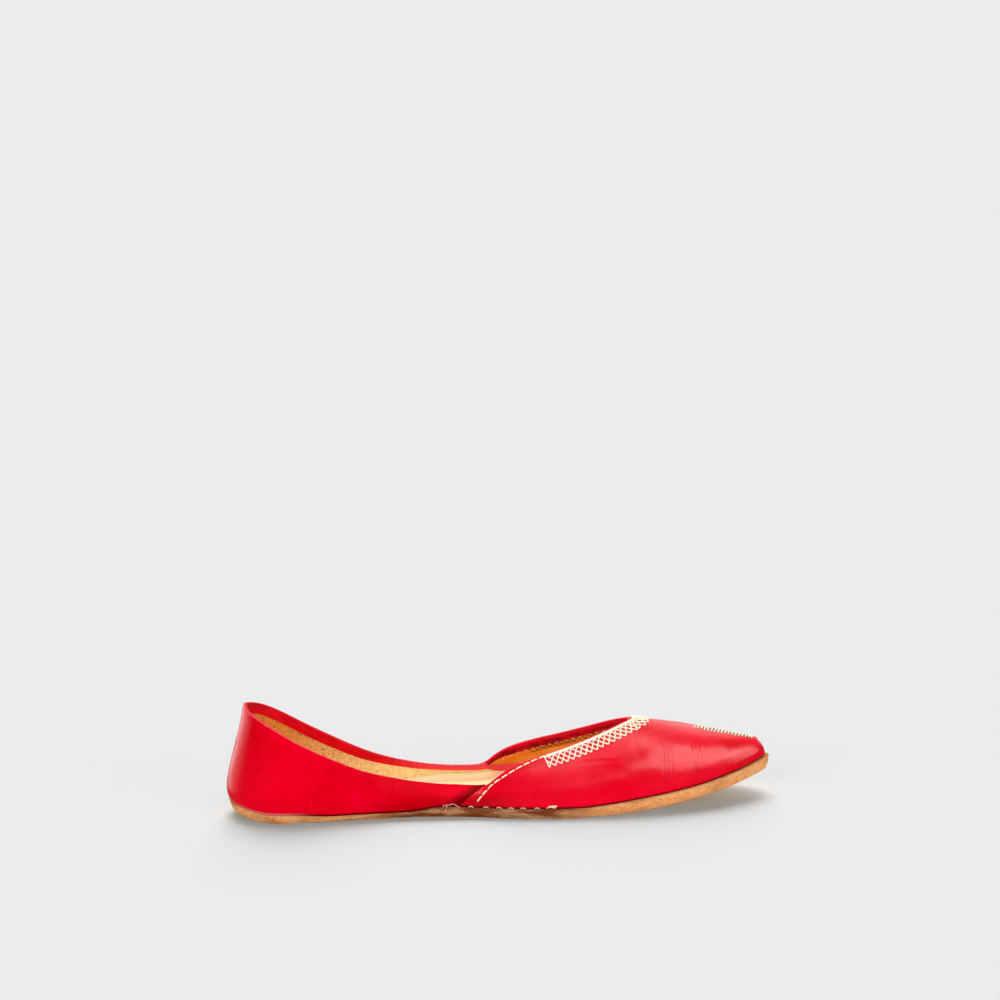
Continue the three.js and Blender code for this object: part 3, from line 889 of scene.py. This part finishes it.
def upper_skin():
    rows = with_row(even_rows(0, LAST_ROW, UPPER_SPACING), THROAT_POINT_ROW)
    under_facing = smooth(*LINING_DROP_ROWS, rows) * smooth(THROAT_POINT_ROW, THROAT_POINT_ROW - 0.7, rows)
    trim = trim_of(rows, UPPER_WALL) + LINING_DROP * under_facing / wall_height(rows)
    row, rise = wall_grid(rows, 0 * rows, 1 - trim, UPPER_STEPS)
    points, faces, codes, fields = leather_shell(row, rise, -UPPER_WALL, 0, quarter_relief)
    place, below = fields["place"][faces[:, 0]], fields["below_top"][faces[:, 0]]
    line = np.interp(place, rows, quarter_top_drop(rows)) + SUEDE_DROP
    ahead = place > VAMP_REAR_TOP_ROW
    under_vamp = ahead & ((below < line) | (place > QUARTER_END_ROW))
    kinds = [(codes % 2 == 1) & ahead, (codes == 2) & under_vamp, codes == 3]
    finish_of = np.select(kinds, [5, 3, 4], codes)
    # to_vamp is the distance to the vamp's rear edge, which places the painted shadow on the quarter beside
    # it.
    rise_there = fields["above_seam"] / (fields["above_seam"] + fields["below_top"])
    edge_x = seam(vamp_row(float(VAMP_REAR_TOP_ROW), rise_there))[:, 0]
    fields["to_vamp"] = np.clip((edge_x - seam(fields["place"])[:, 0]) * VAMP_EDGE_LEAN, -5, 20)
    finishes = ("quarter", "cut", "suede", "lining", "band", "turned")
    return make_piece("upper_skin", points, faces, finishes, finish_of, fields, "upper")


def vamp_skin():
    fine = [(place - 2, place + 11, PRESS_SPACING) for place, depth, start in PRESS_MARKS]
    rows = with_row(even_rows(VAMP_REAR_START_ROW, LAST_ROW, VAMP_SPACING, fine), THROAT_POINT_ROW)
    row, rise = wall_grid(rows, 0 * rows, 1 - trim_of(rows, VAMP_WALL), VAMP_STEPS)
    from_edge = row - VAMP_REAR_START_ROW
    thin = smooth(VAMP_THIN_ROWS, 0.2, from_edge)
    lift = VAMP_LIFT * smooth(VAMP_LIFT_ROWS, 0, from_edge) * smooth(0.02, 0.25, rise)
    inner = blend(LAYER_GAP, VAMP_REAR_GAP, thin) + lift * smooth(0.8, 0.5, rise)
    outer = inner + blend(VAMP_WALL, VAMP_REAR_WALL, thin)
    points, faces, codes, fields = leather_shell(vamp_row(row, rise), rise, inner, outer, vamp_relief)
    # The press marks' depth, which also darkens their troughs as painted shade.
    fields["press"] = press_depth(points)
    finish_of = (codes == 1) & (fields["place"][faces[:, 0]] > VAMP_REAR_TOP_ROW + 0.05)
    return make_piece("vamp_skin", points, faces, ("red", "cut"), finish_of, fields, "vamp")


def facing_skin(node, start, end, depth, profile, finish, top_drop=None):
    """A band turned in at the top line. profile(below) gives its outer and inner distance off the
    upper's face at each distance below the band's top, and top_drop how far that is below the top
    line."""
    rows = even_rows(start, end, FACING_SPACING)
    if end > THROAT_POINT_ROW:
        rows = with_row(rows, THROAT_POINT_ROW)
    height = wall_height(rows)
    drop = 0 * rows if top_drop is None else top_drop(rows)
    trimmed = FACING_TRIM + np.maximum(drop, corner_drop(rows))
    highest = 1 - np.where(rows < THROAT_POINT_ROW, trimmed / height, 0)
    lowest = 1 - (depth(rows) + drop) / height
    row, rise = wall_grid(rows, lowest, highest, FACING_STEPS)
    outer, inner = profile((1 - rise) * height[:, None] - drop[:, None])
    points, faces, codes, fields = leather_shell(row, rise, inner, outer, rounded_foot=True)
    return make_piece(node + "_skin", points, faces, (finish,), fields=fields, replaces=node)


def collar_facing_skin():
    def depth(row):
        side = smooth(0, COLLAR_FACING_SIDE_ROW, row)
        waist = smooth(COLLAR_FACING_SIDE_ROW, COLLAR_FACING_WAIST_ROW, row)
        own = blend(COLLAR_FACING_BACK, COLLAR_FACING_SIDE, side)
        own = own + (COLLAR_FACING_WAIST - COLLAR_FACING_SIDE) * waist
        return own + (BAND_DEPTH_UNDER_VAMP - COLLAR_FACING_WAIST) * smooth(*BAND_DEEPENING_ROWS, row)

    def profile(below):
        inner = -UPPER_WALL - BAND_EDGE - BAND_SWELL * smooth(0, 2.2, below)
        return np.full(below.shape, -UPPER_WALL - BAND_GAP), inner

    facing_skin("collar_facing", 0, BAND_END_ROW, depth, profile, "band", quarter_top_drop)


def throat_facing_skin():
    def depth(row):
        grown = smooth(THROAT_FACING_START_ROW, THROAT_FACING_START_ROW + THROAT_REAR_ROWS, row)
        narrowed = 1 - THROAT_NARROWING * smooth(*THROAT_NARROWING_ROWS, row)
        return THROAT_FACING_DEPTH * blend(THROAT_REAR_DEPTH, 1, grown) * narrowed

    def profile(below):
        over_lining = smooth(LINING_DROP - 0.9, LINING_DROP - 0.1, below)
        outer = blend(THROAT_EDGE_OUT, -UPPER_WALL - 0.05, over_lining)
        return outer, THROAT_EDGE_IN - THROAT_SWELL * smooth(0, 2, below)

    start, end = THROAT_FACING_START_ROW, THROAT_FACING_END_ROW
    facing_skin("throat_facing", start, end, depth, profile, "turned")


# Sole
SOLE_EDGE_STEPS = 9
SOLE_ACROSS_STEPS = 12
WELT_FULL_ROW = 17
RISES_PER_WALL = 7
OUTSOLE_SPACING = 0.6
INSOLE_SPACING = 1.2
# Waves of the outsole's edge, each set with its size, seed and height: the fibres' in a pattern that is
# stretched along the edge, the broad ones in a pattern stretched upward, and the nicks at its foot
FIBRE_STRETCH = np.array((0.3, 0.3, 2.2))
FIBRE_WAVES = ((1, 5, 0.16), (0.35, 6, 0.10))
BROAD_STRETCH = np.array((1, 1, 0.3))
BROAD_WAVES = ((7, 7, 0.21),)
NICK_WAVES = ((3.2, 8, 0.28), (11, 9, 0.3))
EDGE_SWELL = 0.12
# How far the insole falls off at its edge, within a share of its half width
INSOLE_FALL = 0.8
INSOLE_FALL_SHARE = 0.35
# The insole's edge from its top down: whether it is beside the top or at the foot, its height as a share
# of the wall, and how far out it reaches
INSOLE_EDGE = ((True, 1.35, 0.15), (True, 0.8, 0.1), (False, 0.25, -0.3), (False, 0, -0.3))


def sole_margin(row):
    under_vamp = smooth(VAMP_REAR_FOOT_ROW - 2, VAMP_REAR_FOOT_ROW + 0.5, row)
    welt = smooth(VAMP_REAR_TOP_ROW, WELT_FULL_ROW, row)
    return (LAYER_GAP + VAMP_WALL) * under_vamp + WELT_WIDTH * welt


def ruled_plate(node, rows, edge, finishes, crown=None):
    """A plate between mirrored edges. edge(rows, side) gives, for each row, points from the top to the
    bottom of one side's edge, and the faces are ruled across to the middle. The first finish is the
    edge's and the last one the faces'."""
    points = []
    share = np.linspace(0, 1, SOLE_ACROSS_STEPS + 1)[1:]
    level = np.array((1, 0, 1))
    for side in (1, -1):
        ring = mirrored(edge(rows, side), side)
        ends = (ring[:, 0], ring[:, -1])
        over, under = (blend(end[:, None], (end * level)[:, None], share[:, None]) for end in ends)
        if crown is not None:
            over[..., 2] += crown(over, share[None, :])
        points.append(np.concatenate([over[:, ::-1], ring, under], 1))
    columns = np.arange(points[0].shape[1] - 1)
    off_edge = (columns < SOLE_ACROSS_STEPS - 1) | (columns > SOLE_ACROSS_STEPS + ring.shape[1] - 1)
    index = np.arange(2 * len(rows) * (len(columns) + 1)).reshape(2, len(rows), -1)
    corners = (index[:, :-1, :-1], index[:, 1:, :-1], index[:, 1:, 1:], index[:, :-1, 1:])
    faces = np.stack(corners, -1).reshape(-1, 4)
    finish_of = np.tile(np.where(off_edge, len(finishes) - 1, 0), 2 * (len(rows) - 1))
    return make_piece(node + "_skin", points, faces, finishes, finish_of, replaces=node)


def outsole_skin():
    def edge(rows, side):
        share = np.linspace(0, 1, SOLE_EDGE_STEPS)
        out = way_out(rows)[:, None]
        inset = EDGE_SLANT * np.where(share < 0.5, 0.6 * share, 0.3 + 1.4 * (share - 0.5))
        plan = seam(rows)[:, None] + out * (sole_margin(rows)[:, None] - inset)[..., None]
        x = plan[..., 0]
        patch = HEEL_PATCH_WALL * smooth(HEEL_PATCH_END + 0.4, HEEL_PATCH_END - 0.4, x[:, -1:])
        height = blend(sole_top(x[:, :1]), bare_bottom(x[:, -1:]) - patch, share)
        points = np.stack([x, plan[..., 1], height], -1)
        own = mirrored(points, side)
        rough = ripples(own * FIBRE_STRETCH, FIBRE_WAVES) + ripples(own * BROAD_STRETCH, BROAD_WAVES)
        body = np.sin(np.pi * np.clip(share, 0.04, 0.96)) ** 0.5
        points[..., :2] += out * (rough * body + EDGE_SWELL)[..., None]
        points[..., 2] += np.maximum(0, ripples(own[:, -1:], NICK_WAVES)) * smooth(0.55, 1, share)
        points[(rows <= 0) | (rows >= LAST_ROW), :, 1] = 0
        return points

    rows = even_rows(0, LAST_ROW, OUTSOLE_SPACING)
    return ruled_plate("outsole", rows, edge, ("sole_edge", "sole_face"))


def insole_skin():
    def edge(rows, side):
        foot = off_face(rows, 0, -UPPER_WALL)
        facet_top = off_face(rows, 1 / RISES_PER_WALL, -UPPER_WALL)
        share = (INSOLE_WALL / (facet_top[:, 2] - foot[:, 2]))[:, None]
        beside = blend(foot, facet_top, share)
        ring = []
        for at_top, up, reach in INSOLE_EDGE:
            x, y = ((beside if at_top else foot)[:, :2] + way_out(rows) * reach).T
            ring.append(np.stack([x, y, sole_top(x) + SEAT_GAP + INSOLE_WALL * up], -1))
        return np.stack(ring, 1)

    def crown(points, share):
        fall = INSOLE_FALL * smooth(0, INSOLE_FALL_SHARE, share)
        return ripple(points, 14, 11) * 0.12 * share - fall

    return ruled_plate("insole", even_rows(0, LAST_ROW, INSOLE_SPACING), edge, ("sock",), crown)


# Threads laid on the leather: each kind's radius, its height as a share of that, its sides, plies and
# turns per millimetre, and how far its ends are drawn into the leather
Kind = namedtuple("Kind", "radius flat sides plies twist tuck")
LATTICE = Kind(0.33, 0.85, 8, 2, 0.5, 0.1)
CORD = Kind(0.72, 0.62, 14, 3, 0.28, 0.4)
RUNNING = Kind(0.32, 0.85, 10, 2, 0.4, 0.3)
JOINT = Kind(0.2, 0.9, 8, 2, 0.45, 0.12)
LATTICE_BACK = Kind(0.2, 0.8, 6, 2, 0.5, 0.1)
TURNED_EDGE = Kind(0.24, 0.9, 8, 2, 0.5, 0.2)
ORNAMENT = Kind(0.44, 0.9, 10, 2, 0.45, 0.4)
ORNAMENT_GROUND = Kind(0.3, 0.6, 8, 2, 0.4, 0.3)
FOLD_RIM = Kind(0.42, 1, 10, 1, 0, 0)


# How far above the toe's ridge a place on it is looked for
ABOVE_CREST = 3


class Ground:
    """The made leather that threads lie on: nearest places on it, in millimetres."""

    def __init__(self, piece):
        mesh = piece.data
        middle = LENGTH / 2
        self.points = [(v.co.x * METRE + middle, v.co.y * METRE, v.co.z * METRE) for v in mesh.vertices]
        self.normals = [v.normal.copy() for v in mesh.vertices]
        self.faces = [tuple(p.vertices) for p in mesh.polygons]
        self.tree = BVHTree.FromPolygons(self.points, self.faces)

    def nearest(self, point):
        spot, normal, face, distance = self.tree.find_nearest(Vector(point))
        blended = Vector()
        for v in self.faces[face]:
            blended += self.normals[v] / ((Vector(self.points[v]) - spot).length + 1e-3)
        return np.array(spot), np.array(blended.normalized())

    def on_crest(self, x, y, shift=0):
        """The place on the toe's ridge at x, y aside of its middle and shifted ahead."""
        return self.nearest((x + shift, y, float(np.interp(x, CREST_X, CREST_Z)) + ABOVE_CREST))

    def walk(self, start, way, distance, step=0.7):
        """Goes a distance over the leather from a start, straight ahead. Returns the spot and normal."""
        spot, normal = self.nearest(start)
        way = np.array(way, float)
        left = distance
        while left > 1e-6:
            stride = min(step, left)
            way = unit(way - normal * (way @ normal))
            spot, normal = self.nearest(spot + way * stride)
            left -= stride
        return spot, normal


class Threads:
    """Many twisted strands joined in one mesh."""

    def __init__(self):
        self.points, self.faces = [], []
        self.count = 0

    def strand(self, line, normals, kind):
        line = np.array(line, float)
        normals = unit(np.array(normals, float))
        ahead = unit(np.gradient(line, axis=0))
        beside = unit(np.cross(ahead, normals))
        up = unit(np.cross(beside, ahead))
        reach = distances(line)
        ends = np.minimum(reach, max(reach[-1], 1e-6) - reach)
        line = line - normals * (kind.tuck * (1 - smooth(0, kind.radius * 2.2, ends)))[:, None]
        swell = 0.35 + 0.65 * smooth(0, kind.radius * 1.2, ends)[:, None]
        angles = 2 * np.pi * np.arange(kind.sides) / kind.sides
        phase = 2 * np.pi * kind.twist * reach[:, None]
        r = kind.radius * swell * (0.9 + 0.16 * np.abs(np.cos(kind.plies * (angles - phase) / 2)))
        across = beside[:, None] * (np.cos(angles) * r)[..., None]
        upward = up[:, None] * (np.sin(angles) * r * kind.flat)[..., None]
        self.points.append((line[:, None] + across + upward).reshape(-1, 3))
        ring = list(range(kind.sides))
        index = self.count + np.arange(len(line) * kind.sides).reshape(-1, kind.sides)
        for low, high in zip(index[:-1], index[1:]):
            for s, t in zip(ring, ring[1:] + ring[:1]):
                self.faces.append((low[s], low[t], high[t], high[s]))
        self.faces += [tuple(index[0][::-1]), tuple(index[-1])]
        self.count += index.size

    def lay(self, spots, lift, kind):
        """A strand through spots with their normals, lifted off the leather."""
        line = [spot + normal * lift for spot, normal in spots]
        self.strand(line, [normal for spot, normal in spots], kind)

    def make(self, name, finish, slot=CREAM):
        return make_piece(name, np.concatenate(self.points), self.faces, (finish,), weld=False)


def evened(points, spacing):
    """The same line with its points evenly spaced."""
    points = np.array(points, float)
    reach = distances(points)
    marks = np.linspace(0, reach[-1], max(2, int(round(reach[-1] / spacing)) + 1))
    return np.stack([np.interp(marks, reach, points[:, k]) for k in range(3)], -1)


def softened(vectors, passes):
    vectors = np.array(vectors, float)
    for unused in range(passes):
        inner = (vectors[:-2] + vectors[1:-1] * 2 + vectors[2:]) / 4
        vectors = np.concatenate([vectors[:1], inner, vectors[-1:]])
    return vectors


# The lattice of threads round the throat, with the cord above it, which lies lower on the far side
LATTICE_START_ROW = 16.2
LATTICE_PITCH = 3
LATTICE_SPAN = 1.5
LATTICE_TOP = 2.6
LATTICE_DEPTH = 9.6
CORD_DROP = 2
CORD_DROP_FAR = 2.9


def throat_path():
    """The throat edge from the near side round its point to the far side, evenly spaced."""
    edge = off_face(np.linspace(LATTICE_START_ROW, THROAT_POINT_ROW, 240), 1, LAYER_GAP + VAMP_WALL)
    return evened(np.concatenate([mirrored(edge, -1), edge[-2::-1]]), 0.5)


def fan(ground, path, depths):
    """Places at several depths below each point of the throat edge: a grid of spots and of normals."""
    ahead = unit(softened(np.gradient(path, axis=0), 8))
    grid = []
    for point, way in zip(path, ahead):
        place, normal = ground.nearest(point)
        out = np.cross(way, normal)
        gone = 0
        for depth in depths:
            place, normal = ground.walk(place, out, depth - gone)
            out = unit(out - normal * (out @ normal))
            gone = depth
            grid.append((place, normal))
    grid = np.array(grid).reshape(len(path), len(depths), 2, 3)
    return grid[:, :, 0], grid[:, :, 1]


def between_cells(grid, i, j):
    """The grid's value at a place between its points."""
    i0, j0 = (min(int(k), size - 2) for k, size in zip((i, j), grid.shape))
    low = blend(grid[i0, j0], grid[i0 + 1, j0], i - i0)
    return blend(low, blend(grid[i0, j0 + 1], grid[i0 + 1, j0 + 1], i - i0), j - j0)


def throat_embroidery(ground):
    depths = np.linspace(0.8, LATTICE_DEPTH + 0.6, 14)
    spots, normals = fan(ground, throat_path(), depths)
    reach = distances(spots[:, len(depths) // 2])
    total = reach[-1]

    def at(s, depth, lift):
        i = np.interp(s, reach, np.arange(len(reach)))
        j = np.interp(depth, depths, np.arange(len(depths)))
        normal = unit(between_cells(normals, i, j))
        return between_cells(spots, i, j) + normal * lift, normal

    def lay(threads, places, passes, kind):
        line, line_normals = zip(*(at(s, depth, lift * kind.radius) for s, depth, lift in places))
        threads.strand(softened(line, passes), line_normals, kind)

    lattice = Threads()
    count = int(round(total / LATTICE_PITCH))
    pitch = total / count
    for tip in np.arange(count + 1) * pitch:
        for way, lift in ((-1, 0.9), (1, 1.9)):
            places = []
            for share in np.linspace(0, 1, 30):
                s = tip + way * LATTICE_SPAN * pitch * (1 - share)
                if 0 <= s <= total:
                    bow = 0.09 * way * math.sin(math.pi * share) * (1 - share)
                    s = min(total, max(0, s + bow))
                    settle = lift if 0.12 < share < 0.88 else 0.9
                    places.append((s, blend(LATTICE_TOP, LATTICE_DEPTH, share), settle))
            if len(places) > 18:
                lay(lattice, places, 2, LATTICE)
    down = np.linspace(CORD_DROP - 0.3, LATTICE_DEPTH, 30)
    for end in (0, total):
        lay(lattice, [(end, depth, 1) for depth in down], 2, LATTICE)
    lattice.make("throat_lattice", "cream")
    marks = np.linspace(0, total, int(total / 0.3))
    drops = blend(CORD_DROP, CORD_DROP_FAR, smooth(0.5 * total, 0.62 * total, marks))
    cord = Threads()
    lay(cord, [(s, drop, 0.35) for s, drop in zip(marks, drops)], 6, CORD)
    cord.make("throat_cord", "cream")


# The running stitch along the vamp's rear edge
STITCH_PITCH = 4
STITCH_LENGTH = 3.75
STITCH_SPACING = 0.15
STITCH_EDGE_FRONT = 1.7
STITCH_EDGE_REAR = 4.3
STITCH_FRONT_ROW = LATTICE_START_ROW + 0.2
STITCH_REAR_ROW = 13.9


def stitch_line(side):
    """The stitches' line, from the lattice back along the vamp's edge and down to the sole."""
    rows = np.linspace(STITCH_FRONT_ROW, STITCH_REAR_ROW, 60)
    edge = blend(STITCH_EDGE_FRONT, STITCH_EDGE_REAR, smooth(STITCH_FRONT_ROW, STITCH_REAR_ROW, rows))
    rises = 1 - edge / wall_height(rows)
    rises = np.concatenate([rises, np.linspace(rises[-1], 0.03, 50)[1:]])
    rows = np.concatenate([rows, np.full(49, STITCH_REAR_ROW)])
    line = off_face(vamp_row(rows, rises), rises, LAYER_GAP + VAMP_WALL)
    return mirrored(evened(softened(evened(line, 0.8), 26), STITCH_SPACING), side)


def running_stitch(ground):
    threads = Threads()
    per_pitch = int(round(STITCH_PITCH / STITCH_SPACING))
    per_stitch = int(round(STITCH_LENGTH / STITCH_SPACING))
    for side in (-1, 1):
        line = stitch_line(side)
        for first in range(0, len(line) - per_stitch, per_pitch):
            laid = [ground.nearest(point) for point in line[first:first + per_stitch]]
            spots, up = (np.array(part) for part in zip(*laid))
            arch = np.sin(np.linspace(0, np.pi, per_stitch)) ** 0.5
            threads.strand(spots + up * (0.08 + 0.14 * arch)[:, None], up, RUNNING)
    threads.make("running_stitch", "cream")


# Small threads at the sole's joint: the stitches' places, the knot's, and the loose ends, each with its
# radius and its points, which are x, the height above the joint and the distance off the leather
FOOT_STITCHES = (114.5, 121.6, 127.7, 133.3, 139, 145.5)
FOOT_STITCH_HALF = 1.25
KNOT_PLACE = 152.5
KNOT_TURNS = 5
KNOT_RADIUS = 0.24
LOOSE_ENDS = (
    (0.18, ((109.3, 0.2, 0.2), (107.6, 0.9, 0.5), (105.8, 1.7, 0.7), (104.4, 1, 0.6),
            (102.9, 1.1, 0.6), (101.9, 0.5, 0.7))),
    (0.16, ((103.3, 1.2, 0.5), (102.8, 0.1, 0.9), (102.2, -1.3, 1.2), (101.3, -2, 1.3))),
    (0.15, ((101.9, 1.2, 0.5), (101.2, 0.6, 0.7), (100.9, -0.6, 1.1))),
)


def foot_spot(x, up, out, side):
    rows = np.linspace(0, LAST_ROW, 2000)
    row = np.interp(x, seam(rows)[:, 0], rows)
    rise = np.clip(up / float(wall_height(row)), 0, 1)
    off = LAYER_GAP + VAMP_WALL if row > VAMP_REAR_FOOT_ROW else 0
    spot = off_face(row, max(rise, 0.002), off + out) + np.array((0, 0, min(0, up)))
    return mirrored(spot, side), mirrored(face_normal(row, rise), side)


def foot_strand(threads, places, side, radius=JOINT.radius):
    line, normals = zip(*(foot_spot(x, up, out, side) for x, up, out in places))
    smoothed = evened(softened(evened(line, 0.3), 2), 0.18)
    threads.strand(smoothed, [normals[len(normals) // 2]] * len(smoothed), JOINT._replace(radius=radius))


def sole_joint_threads():
    stitches, loose = Threads(), Threads()
    half = FOOT_STITCH_HALF
    for side in (-1, 1):
        for x in FOOT_STITCHES:
            ends = (x - half, 0.25, 0), (x + half, 0.2, 0)
            middle = (x - half / 2, 0.75, 0.3), (x + half / 2, 0.7, 0.3)
            foot_strand(stitches, (ends[0], *middle, ends[1]), side)
        for turn in range(KNOT_TURNS):
            shift = 0.55 * (turn - 2)
            places = ((KNOT_PLACE - 2.2 + shift * 0.5, 0.5 + 0.2 * turn, 0.1),
                      (KNOT_PLACE + shift, 1.15 + 0.12 * turn, 0.55),
                      (KNOT_PLACE + 2 + shift * 0.4, 0.55 + 0.22 * turn, 0.1))
            foot_strand(stitches, places, side, KNOT_RADIUS)
    stitches.make("sole_joint_stitches", "pale")
    for radius, places in LOOSE_ENDS:
        foot_strand(loose, places, -1, radius)
    loose.make("loose_thread_ends", "pink")


# Threads inside: the back of the lattice on the vamp's lining, and the stitches of the turned edge
TURNED_STITCH_DROP = 2.3
TURNED_STITCH_LENGTH = 1.1
BACK_LATTICE_TOP = 3.4
BACK_LATTICE_FOOT = 9.8


def threads_inside():
    lattice, dots = Threads(), Threads()

    def top_line(start, end, count):
        rows = np.linspace(start, end, count)
        return rows, distances(surface(rows, 1))

    def lay(threads, side, row, below, off, kind):
        spots = off_face(row, 1 - below / wall_height(row), off)
        normals = -face_normal(row, 1 - below / wall_height(row))
        threads.strand(mirrored(spots, side), mirrored(normals, side), kind)

    rows, reach = top_line(LATTICE_START_ROW - 0.6, THROAT_POINT_ROW - 0.5, 200)
    edge_rows, run = top_line(THROAT_FACING_START_ROW + 0.2, THROAT_POINT_ROW - 0.4, 300)
    share = np.linspace(0, 1, 14)
    below = blend(BACK_LATTICE_TOP, BACK_LATTICE_FOOT, share)
    for side in (-1, 1):
        for tip in np.arange(LATTICE_PITCH, reach[-1] - LATTICE_PITCH, LATTICE_PITCH):
            for way in (-1, 1):
                s = np.clip(tip + way * LATTICE_SPAN * LATTICE_PITCH * (1 - share), 0, reach[-1])
                lay(lattice, side, np.interp(s, reach, rows), below, -UPPER_WALL - 0.14, LATTICE_BACK)
        for s in np.arange(1, run[-1] - 1, STITCH_PITCH):
            row = np.interp(np.linspace(s, s + TURNED_STITCH_LENGTH, 8), run, edge_rows)
            off = -UPPER_WALL - LAYER_GAP - FACING_WALL + 0.02
            lay(dots, side, row, TURNED_STITCH_DROP, off, TURNED_EDGE)
    lattice.make("lattice_back", "brown")
    dots.make("turned_edge_stitches", "pink")


# The stitched ornament on the toe's ridge, and the fold of leather ahead of it
ORNAMENT_START = 221
ORNAMENT_END = 248.4
ORNAMENT_PITCH = 1.6
ORNAMENT_HALF = 2.7
ORNAMENT_GROUND_PLACES = (-1.6, -0.8, 0, 0.8, 1.6)
FOLD_PLACE = 250.2
FOLD_RINGS = 6
FOLD_SIDES = 24


def toe_ornament(ground):
    threads, under = Threads(), Threads()
    count = int(round((ORNAMENT_END - ORNAMENT_START) / ORNAMENT_PITCH)) + 1
    for x in ORNAMENT_START + np.arange(count) * ORNAMENT_PITCH:
        half = ORNAMENT_HALF * float(smooth(-2, 6, x - ORNAMENT_START))
        half *= 1 - 0.3 * float(smooth(ORNAMENT_END - 8, ORNAMENT_END, x))
        line, normals = [], []
        for share in np.linspace(-1, 1, 26):
            spot, normal = ground.on_crest(x, half * share, 0.45 * share)
            line.append(spot + normal * (0.15 + 0.25 * (1 - share * share)))
            normals.append(normal)
        threads.strand(softened(line, 2), normals, ORNAMENT)
    threads.make("toe_ornament", "cream")
    for y in ORNAMENT_GROUND_PLACES:
        spots = [ground.on_crest(x, y) for x in np.linspace(ORNAMENT_START + 1, ORNAMENT_END, 90)]
        under.lay(spots, 0.02, ORNAMENT_GROUND)
    under.make("toe_ornament_ground", "ochre")


def toe_fold(ground):
    rim = Threads()
    around = np.linspace(0, 2 * math.pi, 40)
    spots = [ground.on_crest(FOLD_PLACE + 1.7 * math.cos(a), 1.5 * math.sin(a)) for a in around]
    rim.lay(spots, 0.22, FOLD_RIM)
    rim.make("toe_fold_rim", "cut", EDGE)
    dome, faces = [], []
    for share in np.linspace(0, 1, FOLD_RINGS + 1):
        for angle in 2 * np.pi * np.arange(FOLD_SIDES) / FOLD_SIDES:
            place = FOLD_PLACE + 1.6 * share * math.cos(angle)
            spot, normal = ground.on_crest(place, 1.4 * share * math.sin(angle))
            dome.append(spot + normal * (0.8 * math.sqrt(max(0, 1 - share * share)) - 0.1))
    for ring in range(FOLD_RINGS):
        for k in range(FOLD_SIDES):
            here, there = ring * FOLD_SIDES + k, ring * FOLD_SIDES + (k + 1) % FOLD_SIDES
            faces.append((here, here + FOLD_SIDES, there + FOLD_SIDES, there))
    make_piece("toe_fold", dome, faces, ("turned",))


# Lights, floor and colour
# Soft boxes that show in the leather's gloss: azimuth, elevation, distance, width, height and radiance.
# Azimuth 0 is the camera's side, 90 the toe's.
SOFT_BOXES = {
    "toe_box": (90, 32, 6, 2.8, 3.6, 18),
    "crown_box": (70, 64, 6, 5, 4.8, 23),
    "ridge_box": (-175, 72, 6, 1.8, 1.8, 14),
    "backdrop": (178, 24, 7, 12, 4.6, 2),
    "left_drop": (-132, 4, 7, 6.4, 4, 4.6),
}
# Soft lights that shade the shoe and the floor and don't show in the gloss: way, strength, spread in
# degrees, and whether they throw shadows
SUNS = {
    "back_high": ((0, -0.55, -0.83), 2.2, 36, True),
    "back_low": ((0, -0.88, -0.47), 2, 40, True),
    "fill_left": ((0.6, 0.75, -0.28), 1.1, 44, True),
    "fill_right": ((-0.6, 0.75, -0.28), 1.1, 44, True),
    "even_front": ((0, 0.98, -0.2), 0.5, 10, False),
    "inside_fill": ((0, 0.5, -0.86), 1, 10, False),
}
WORLD_STRENGTH = 0.15
FLOOR_REACH = 20


def soft_box(name, azimuth, elevation, distance, width, height, radiance):
    data = bpy.data.lights.new(name, "AREA")
    data.shape = "RECTANGLE"
    data.size, data.size_y = width, height
    data.energy = radiance * width * height * math.pi
    turn, lift = math.radians(azimuth), math.radians(elevation)
    way = Vector((math.sin(turn) * math.cos(lift), -math.cos(turn) * math.cos(lift), math.sin(lift)))
    light = put_in_scene(name, data)
    light.location = way * distance
    turn_to(light, -way)
    light.visible_diffuse = False
    light.visible_camera = False


def sun_light(name, way, strength, spread, shadows):
    data = bpy.data.lights.new(name, "SUN")
    data.energy = strength
    data.angle = math.radians(spread)
    data.use_shadow = shadows
    light = put_in_scene(name, data)
    turn_to(light, way)
    light.visible_glossy = False
    return light


def make_floor():
    mesh = bpy.data.meshes.new("floor")
    corners = [(x * FLOOR_REACH, y * FLOOR_REACH, 0) for x, y in ((-1, -1), (1, -1), (1, 1), (-1, 1))]
    mesh.from_pydata(corners, [], [(0, 1, 2, 3)])
    f = Finish("floor", 0.9, 0)
    f.base(f.noise(900, 2), (212, 212, 213), (214, 214, 214))
    mesh.materials.append(f.done())
    floor = put_in_scene("floor", mesh)
    floor.visible_glossy = False


def make_studio(insole):
    scene = bpy.context.scene
    scene.view_settings.view_transform = "Standard"
    world = bpy.data.worlds.new("studio")
    world.use_nodes = True
    background = world.node_tree.nodes["Background"].inputs
    background["Color"].default_value = (1, 1, 1, 1)
    background["Strength"].default_value = WORLD_STRENGTH
    scene.world = world
    suns = {name: sun_light(name, *values) for name, values in SUNS.items()}
    inner_pieces = bpy.data.collections.new("inner_pieces")
    inner_pieces.objects.link(insole)
    suns["inside_fill"].light_linking.receiver_collection = inner_pieces
    for name, values in SOFT_BOXES.items():
        soft_box(name, *values)


make_floor()
upper = upper_skin()
vamp = vamp_skin()
collar_facing_skin()
throat_facing_skin()
outsole = outsole_skin()
make_studio(insole_skin())
# The red leather's own glow would tint the floor's shadow
for piece in (upper, vamp, outsole):
    piece.visible_diffuse = False
ground = Ground(vamp)
throat_embroidery(ground)
running_stitch(ground)
sole_joint_threads()
threads_inside()
toe_ornament(ground)
toe_fold(ground)
